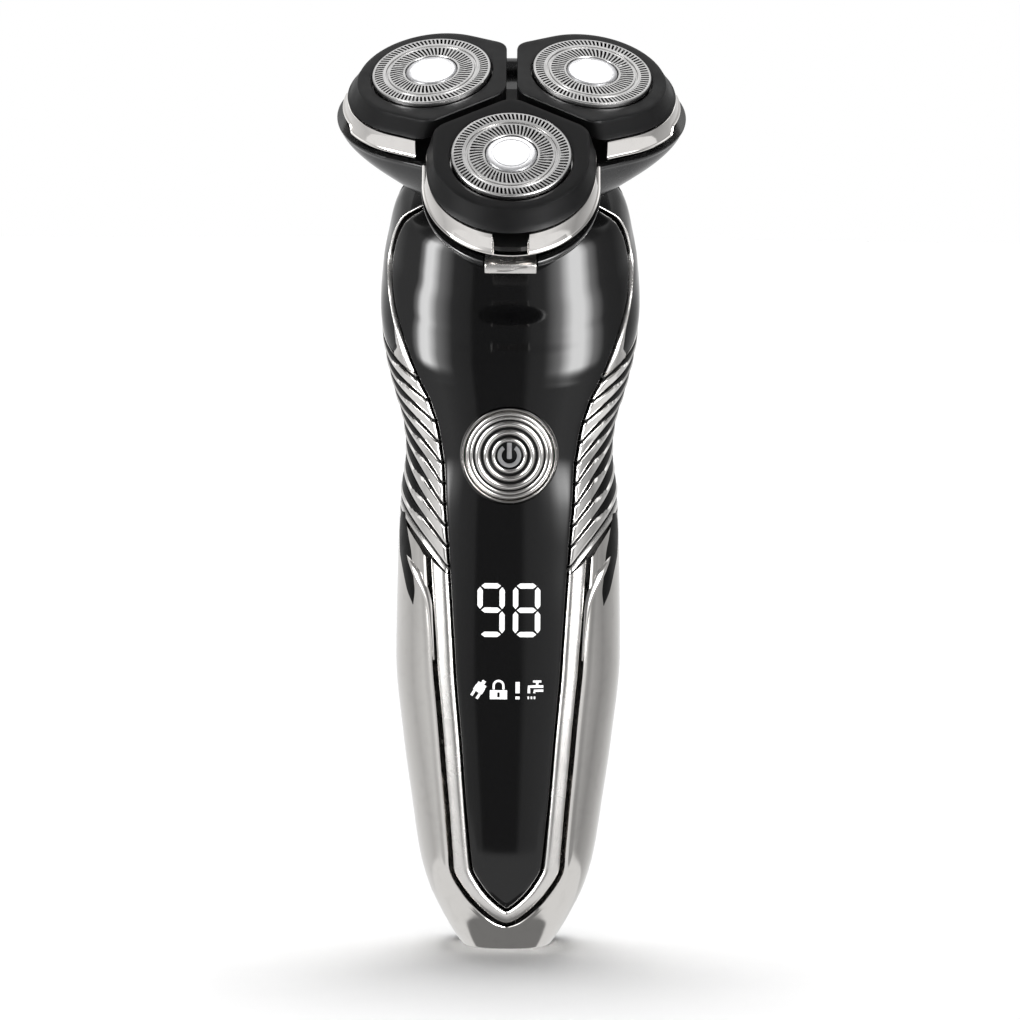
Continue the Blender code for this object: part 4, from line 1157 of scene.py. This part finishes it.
def shaving_ring(side, turn):
    place = lobe_matrix(turn)

    def dome(radius):
        return 0.35 - 0.02 * (radius - 9.9) ** 2

    outer = slotted(OUTER_SLOTS, 9.25, 9.55, 11.15, 11.32, dome, 0.02)
    inner = slotted(INNER_SLOTS, 5.3, 5.55, 8.1, 8.42, lambda radius: 0.35, 0.03)
    sections = ((GROOVE, 160), (RING_WALL, 160), (LIP, 120))
    solid = [lathe(section, steps, closed=True) for section, steps in sections]
    mesh_piece("shaving_ring_" + side, merged(outer, inner, *solid), "ring_steel", "cap_" + side, place, 30,
               ["shaving_cap_" + side])
    profile = [(0, 0.62), (1.4, 0.61), (2.8, 0.58)]
    if side == "front":
        profile += [(3.5, 0.55), (3.56, 0.44), (3.8, 0.44), (3.86, 0.54)]
    else:
        profile += [(3.9, 0.55), (3.94, 0.5), (4.02, 0.5), (4.06, 0.54)]
    profile += [(4.5, 0.5), (4.75, 0.4), (4.92, 0.2), (4.95, 0.0), (4.95, -0.55), (0, -0.55)]
    mesh_piece("ring_centre_" + side, lathe(profile, 120), "satin_silver", "cap_" + side, place, 30,
               ["center_cap_" + side])


# A side band is cut away within this angle of its far end, by this share of its height.
BAND_STEP = math.radians(52)
BAND_CUT = 0.36


def band_outline(level, inset):
    """Points along the outer side of a band, from one inner corner round the lobe's far end to the other."""
    curve = lobe_outline(level, inset, 120)[:121]
    straight = np.linspace(5.4, 0, 9)[:-1]
    start = np.stack([np.full(8, curve[0][0]), straight], -1)
    end = np.stack([np.full(8, curve[-1][0]), straight[::-1]], -1)
    return np.concatenate([start, curve, end])


def chrome_band(side, turn):
    """The bright band under a lobe: cut away at a side lobe's far end, a bead along its foot."""
    place = lobe_matrix(turn)
    stepped = side != "front"
    shares = (0.0, 0.02, 0.06, 0.3, 0.6, 0.86, 0.9, 0.93, 0.97, 1.0)
    proud = (-0.2, 0.0, 0.04, 0.08, 0.05, 0.0, 0.08, 0.3, 0.3, 0.05)
    grid = []
    for share, out in zip(shares, proud):
        level = between_levels(BAND_TOP, BAND_BOTTOM, share)
        grid.append(np.concatenate([band_outline(level, -out), np.full((137, 1), level[0])], axis=1))
    outer = np.array(grid)
    if stepped:
        tall = BAND_TOP[0] - BAND_BOTTOM[0]
        off = np.abs(np.arctan2(outer[..., 0], -outer[..., 1]))
        rise = np.clip((BAND_STEP - off) / math.radians(5), 0, 1)
        lifted = BAND_TOP[0] - (BAND_TOP[0] - outer[..., 2]) * (1 - BAND_CUT * rise)
        pull = (lifted - outer[..., 2]) / tall
        outer[..., 0] -= pull * (BAND_BOTTOM[1] - BAND_TOP[1]) * np.sign(outer[..., 0])
        outer[..., 1] += pull * (BAND_BOTTOM[2] - BAND_TOP[2]) * np.cos(off)
        outer[..., 2] = lifted
    inner = outer.copy()
    away = outer.copy()
    away[..., 2] = 0
    away /= np.linalg.norm(away, axis=-1, keepdims=True)
    inner -= away * 1.1
    band = mesh_piece("chrome_ring_" + side, shell(outer, inner), "band_chrome", "lobe_" + side, place, 25,
                      ["chrome_band_" + side])
    cut_with(band, block((-3.6, -24, BAND_BOTTOM[0] + 0.25), (3.6, -10, BAND_TOP[0] + 1)), place)
    if stepped:
        return
    low, high = BAND_BOTTOM[0] + 0.4, BAND_TOP[0] - 0.05
    pieces = [bevelled((x - 0.16, -19.2, low), (x + 0.16, -17.6, high), 0.08) for x in (-3.45, 3.45)]
    mesh_piece("notch_edge_" + side, merged(*pieces), "band_chrome", "lobe_" + side, place, 30)


def block(low, high):
    (x0, y0, z0), (x1, y1, z1) = low, high
    points = [(x, y, z) for z in (z0, z1) for x, y in ((x0, y0), (x1, y0), (x1, y1), (x0, y1))]
    faces = [(3, 2, 1, 0), (4, 5, 6, 7), (0, 1, 5, 4), (1, 2, 6, 5), (2, 3, 7, 6), (3, 0, 4, 7)]
    return points, faces


def bevelled(low, high, width, segments=3):
    points, faces = block(low, high)
    mesh = bmesh.new()
    verts = [mesh.verts.new(p) for p in points]
    for face in faces:
        mesh.faces.new([verts[i] for i in face])
    bmesh.ops.bevel(mesh, geom=mesh.edges[:], offset=width, segments=segments, profile=0.5, affect="EDGES")
    return taken_from(mesh)


def off_axis(turns):
    sector = TAU / 3
    return (turns + math.pi / 2 + sector / 2) % sector - sector / 2


def head_radius(turns, level, inset=0.0):
    """Distance from the head's axis to the outline of the three lobes together at a level."""
    half, reach = level[1] - inset, level[2] - inset
    centre = LOBE_RADIUS + level[0] * math.tan(LOBE_TILT)
    off = off_axis(turns)
    along, across = np.cos(off) / reach, np.sin(off) / half
    a = along**2 + across**2
    b = -along * centre / reach
    c = (centre / reach) ** 2 - 1
    rounded = (-b + np.sqrt(np.maximum(b * b - a * c, 0))) / a
    flat = half / np.maximum(np.abs(np.sin(off)), 1e-6)
    return np.where(np.abs(np.tan(off)) * centre >= half, flat, rounded)


def bowl_ring(turns, share, inset, lift=0.0, out=0.0):
    top = head_radius(turns, BOWL_RIM, inset)
    along = head_radius(turns, BOWL_RIM) * np.cos(off_axis(turns))
    centre = LOBE_RADIUS + BOWL_RIM[0] * math.tan(LOBE_TILT)
    rim = BOWL_RIM[0] - (along - centre) * math.tan(LOBE_TILT)
    swell = math.sin(share * math.pi / 2) ** 0.8
    neck = BOWL_NECK_RADIUS - inset
    radius = neck + (top - neck) * swell + out
    return ring_of(turns, radius, BOWL_BOTTOM + lift + (rim - BOWL_BOTTOM - lift) * share)


# Cross-section of the hinge knuckle: radius, height.
KNUCKLE = ((1.15, -2.6), (1.95, -2.6), (2.2, -2.35), (2.2, 2.35), (1.95, 2.6), (1.15, 2.6))


def hair_bowl():
    """The dark bowl under the lobes, with a rolled rim and its hinge knuckle at the back."""
    head = head_matrix()
    turns = np.arange(240) * TAU / 240
    outer = [(0.0, -0.25), (0.015, -0.05)] + [(s, 0.0) for s in np.linspace(0.04, 0.9, 20)]
    outer += [(0.925, 0.0), (0.94, 0.12), (0.96, 0.2), (0.985, 0.2), (1.0, 0.08)]
    rings = [bowl_ring(turns, share, 0.0, 0.0, out) for share, out in outer]
    rings += [bowl_ring(turns, share, 1.5, 1.5) for share in (1.0, 0.9, 0.7, 0.45, 0.2, 0.05, 0.0)]
    rings += [ring_of(turns, 4.7, BOWL_BOTTOM + 1.5), ring_of(turns, 4.7, BOWL_BOTTOM - 1.9)]
    rings += [ring_of(turns, 7.4, BOWL_BOTTOM - 1.9), ring_of(turns, 7.4, BOWL_BOTTOM)]
    bowl = mesh_piece("hair_bowl", closed_rings(rings), "gunmetal", "head_base", head, 30, ["hair_chamber"])
    cut_with(bowl, block((-5.7, 15, -10.95), (5.7, 32, -4)), head)
    cut_with(bowl, block((-5.3, -40, -14.1), (5.3, -32, -11.8)), head)
    across = Matrix.Translation((0, 27.8, -12.9)) @ Matrix.Rotation(math.pi / 2, 4, "Y")
    barrel = lathe(KNUCKLE, 48, closed=True)
    barrel = ([tuple(across @ Vector(p)) for p in barrel[0]], barrel[1])
    arm = bevelled((-2.6, 18.0, -15.2), (2.6, 26.6, -12.9), 0.3)
    mesh_piece("hinge_arm", merged(barrel, arm), "gunmetal", "head_base", head, 35)


# The tab leans back by this share of its height; its line runs along rows of x, height.
TAB_SLANT = 0.42
TAB_LINE = ((-2.6, -13.2), (-0.9, -13.25), (0.4, -13.05), (1.4, -12.65), (3.2, -12.5))


def release_tab():
    head = head_matrix()
    points, faces = bevelled(TAB_LOW, TAB_HIGH, 0.28)
    middle = (TAB_LOW[2] + TAB_HIGH[2]) / 2
    body = [(x, y - TAB_SLANT * (middle - z), z) for x, y, z in points], faces
    line = []
    for x, h in TAB_LINE:
        front = TAB_LOW[1] - TAB_SLANT * (middle - h)
        line.append([(x, front + 0.1, h - 0.22), (x, front - 0.12, h - 0.1), (x, front - 0.12, h + 0.1),
                     (x, front + 0.1, h + 0.22)])
    mesh_piece("release_button", merged(body, closed_bar(line)), "trim_silver", "release_tab", head, 30,
               ["release_tab"])


# ---------------------------------------------------------------- frame pieces that show, and the studio


def paint_frame():
    """Every frame piece that still shows gets the finish of its material slot; the steel cutters get dark
    gunmetal instead, as painted shade under the foils.
    """
    for row in frame["record"]["subparts"]:
        node = frame["nodes"][row["node"]]
        # The cutters are steel but get the dark gunmetal: painted shade under the foils.
        look = LOOKS["gunmetal" if row["node"].startswith("cutter") else row["material_slot"]]
        node.data.materials.clear()
        node.data.materials.append(look)


def floor():
    points, faces = lathe(((0, 0), (60, 0), (150, 0), (400, 0), (900, 0), (1600, 0)), 96)
    data = bpy.data.meshes.new("floor")
    data.from_pydata([(x * MM, y * MM, (z - 0.02) * MM) for x, y, z in points], [], faces)
    made = bpy.data.objects.new("floor", data)
    bpy.context.scene.collection.objects.link(made)
    paint = Paint("pale_floor", (0.9, 0.9, 0.9), 0.8, Specular_IOR_Level=0.0)
    paint.tint(paint.noise(40.0), (0.88, 0.88, 0.88))
    data.materials.append(paint.material)
    return made


# Studio brightness round the object, to the left and to the right: degrees from the camera's side, level.
LEFT_ROUND = ((13.6, 0.17), (15.0, 0.42), (28, 0.55), (44, 0.8), (60, 0.75), (84, 0.62), (104, 0.5),
              (128, 0.62), (150, 0.72), (180, 0.85))
RIGHT_ROUND = ((3.4, 0.17), (4.8, 0.46), (20, 0.6), (34, 0.8), (52, 0.72), (78, 0.42), (100, 0.3),
               (126, 0.42), (150, 0.6), (180, 0.85))
# The soft boxes above the horizon: degrees from the camera's side, brightness on top of the round one.
LEFT_BOX = ((28, 0.0), (42, 3.0), (53, 16.0), (61, 15.0), (67, 3.0), (74, 0.0))
RIGHT_BOX = ((12, 0.0), (22, 3.0), (32, 15.0), (42, 15.0), (54, 3.0), (68, 0.0))
BRIGHTEST = 20.0
BOX_LOW, BOX_HIGH = (-5, 8), (38, 56)
# Overhead, in front and behind, and where front turns to back; then the pale band under the horizon
# and the dark ground below it.
HIGH, HIGH_FRONT, HIGH_BACK = (40, 56), 0.22, 1.15
FRONT_TO_BACK = (-0.1, 0.2)
BAND, BAND_LEVEL = (-20.6, -21.8), 0.78
GROUND, GROUND_LEVEL = (-52, -57), 0.2
SOFT_FILL = 0.3


def ramp_of(add, link, source, rows, top):
    """Brightness against a share from 0 to 1, as (share, level) rows."""
    ramp = add("ShaderNodeValToRGB")
    link(source, ramp.inputs[0])
    elements = ramp.color_ramp.elements
    while len(elements) < len(rows):
        elements.new(0.5)
    for element, (share, level) in zip(elements, rows):
        element.position = share
        element.color = (*(3 * (level / top,)), 1.0)
    return ramp.outputs[0]


def studio():
    """Soft boxes at both sides, a dark gap behind the camera, a pale wall behind the object."""
    world = bpy.data.worlds.new("studio")
    bpy.context.scene.world = world
    world.use_nodes = True
    tree = world.node_tree
    tree.nodes.clear()
    link = tree.links.new

    def add(kind, **values):
        made = tree.nodes.new(kind)
        for key, value in values.items():
            setattr(made, key, value)
        return made

    def maths(operation, *values):
        made = add("ShaderNodeMath", operation=operation)
        for socket, value in zip(made.inputs, values):
            if isinstance(value, (int, float)):
                socket.default_value = value
            else:
                link(value, socket)
        return made.outputs[0]

    def window(source, start, end):
        made = add("ShaderNodeMapRange", interpolation_type="SMOOTHSTEP")
        made.inputs["From Min"].default_value = math.radians(start)
        made.inputs["From Max"].default_value = math.radians(end)
        if start > end:
            made.inputs["From Min"].default_value = math.radians(end)
            made.inputs["From Max"].default_value = math.radians(start)
            made.inputs["To Min"].default_value, made.inputs["To Max"].default_value = 1.0, 0.0
        link(source, made.inputs["Value"])
        return made.outputs[0]

    def towards(value, level, share):
        blend = add("ShaderNodeMix", data_type="FLOAT")
        link(share, blend.inputs["Factor"])
        link(value, blend.inputs["A"])
        blend.inputs["B"].default_value = level
        return blend.outputs["Result"]

    def two_sided(left, right, top):
        rows = [((1 - degrees / 180) / 2, value) for degrees, value in reversed(left)]
        rows += [((1 + degrees / 180) / 2, value) for degrees, value in right]
        return maths("MULTIPLY", ramp_of(add, link, maths("MULTIPLY_ADD", turn, 0.5, 0.5), rows, top), top)

    parts = add("ShaderNodeSeparateXYZ")
    link(add("ShaderNodeTexCoord").outputs["Generated"], parts.inputs[0])
    x, y, z = parts.outputs
    turn = maths("DIVIDE", maths("ARCTAN2", x, maths("MULTIPLY", y, -1.0)), math.pi)
    up = maths("ARCSINE", z)
    level = two_sided(LEFT_ROUND, RIGHT_ROUND, 1.0)
    hot = two_sided(LEFT_BOX, RIGHT_BOX, BRIGHTEST)
    hot = maths("MULTIPLY", hot, maths("MULTIPLY", window(up, *BOX_LOW), window(up, *reversed(BOX_HIGH))))
    behind = add("ShaderNodeMapRange", interpolation_type="SMOOTHSTEP")
    ends = (*FRONT_TO_BACK, HIGH_FRONT, HIGH_BACK)
    for key, value in zip(("From Min", "From Max", "To Min", "To Max"), ends):
        behind.inputs[key].default_value = value
    link(y, behind.inputs["Value"])
    high = add("ShaderNodeMix", data_type="FLOAT")
    link(window(up, *HIGH), high.inputs["Factor"])
    link(maths("ADD", level, hot), high.inputs["A"])
    link(behind.outputs[0], high.inputs["B"])
    level = towards(high.outputs["Result"], BAND_LEVEL, window(up, *BAND))
    level = towards(level, GROUND_LEVEL, window(up, *GROUND))
    light_path = add("ShaderNodeLightPath")
    sharper = maths("SUBTRACT", level, SOFT_FILL)
    seen = maths("MULTIPLY_ADD", light_path.outputs["Is Glossy Ray"], sharper, SOFT_FILL)
    whole = towards(seen, 1.0, light_path.outputs["Is Camera Ray"])
    background = add("ShaderNodeBackground")
    link(whole, background.inputs["Strength"])
    background.inputs["Color"].default_value = (1.0, 1.0, 1.0, 1.0)
    link(background.outputs[0], add("ShaderNodeOutputWorld").inputs["Surface"])


# The light above the floor: where it stands, how many degrees wide it is and how strong.
OVERHEAD_PLACE = (0.0, 0.27, 0.9)
OVERHEAD_SPREAD, OVERHEAD_POWER = 36, 2.95


def overhead(receivers):
    """A wide soft light from above for the floor, with the shadow on it, and for the pale ring centres."""
    data = bpy.data.lights.new("overhead", "SUN")
    data.angle = math.radians(OVERHEAD_SPREAD)
    data.energy = OVERHEAD_POWER
    made = bpy.data.objects.new("overhead", data)
    made.location = OVERHEAD_PLACE
    made.rotation_mode = "QUATERNION"
    made.rotation_quaternion = (-Vector(OVERHEAD_PLACE)).to_track_quat("-Z", "Y")
    bpy.context.scene.collection.objects.link(made)
    group = bpy.data.collections.new("lit_from_above")
    for piece in receivers:
        group.objects.link(piece)
    made.light_linking.receiver_collection = group


CAMERA_ELEVATION = math.radians(6.5)
CAMERA_DISTANCE = 2.0
CAMERA_ROLL = math.radians(0.38)
AIM = Vector((0.0002, 0.0, 0.0857))


def camera():
    data = bpy.data.cameras.new("camera")
    data.sensor_width = 36.0
    data.lens = 360.0
    data.clip_start = 0.1
    data.clip_end = 50.0
    made = bpy.data.objects.new("camera", data)
    back = Vector((0.0, -math.cos(CAMERA_ELEVATION), math.sin(CAMERA_ELEVATION)))
    made.location = AIM + back * CAMERA_DISTANCE
    made.rotation_mode = "QUATERNION"
    turn = (-back).to_track_quat("-Z", "Y").to_matrix() @ Matrix.Rotation(CAMERA_ROLL, 3, "Z")
    made.rotation_quaternion = turn.to_quaternion()
    bpy.context.scene.collection.objects.link(made)
    bpy.context.scene.camera = made


def main():
    paint_frame()
    front_panel()
    trim_and_shell()
    for name, side in (("left", -1), ("right", 1)):
        grip(name, side)
        # Dark leaves of painted shade under the ribs.
        grip_shade_leaves("grip_shade_leaves_" + name, side)
        # A dark sheet of painted shade in the gap under the lowest rib.
        side_gap_shade(name, side)
        shoulder(name, side)
        crest("side_crest_" + name, side, BRIGHT_CREST, "band_chrome")
        # The dark side patch is painted shade and dark reflection.
        crest("side_shadow_" + name, side, SIDE_SHADE_PATCH, "rubber")
    back_cover()
    power_button()
    display()
    for side, turn in LOBES:
        lobe_shell(side, turn)
        shaving_ring(side, turn)
        chrome_band(side, turn)
    hair_bowl()
    release_tab()
    ground = floor()
    studio()
    ground.visible_glossy = False
    centres = [bpy.data.objects["ring_centre_" + side] for side, _ in LOBES]
    overhead([ground, *centres])
    camera()
    bpy.context.scene.view_settings.view_transform = "Standard"


main()
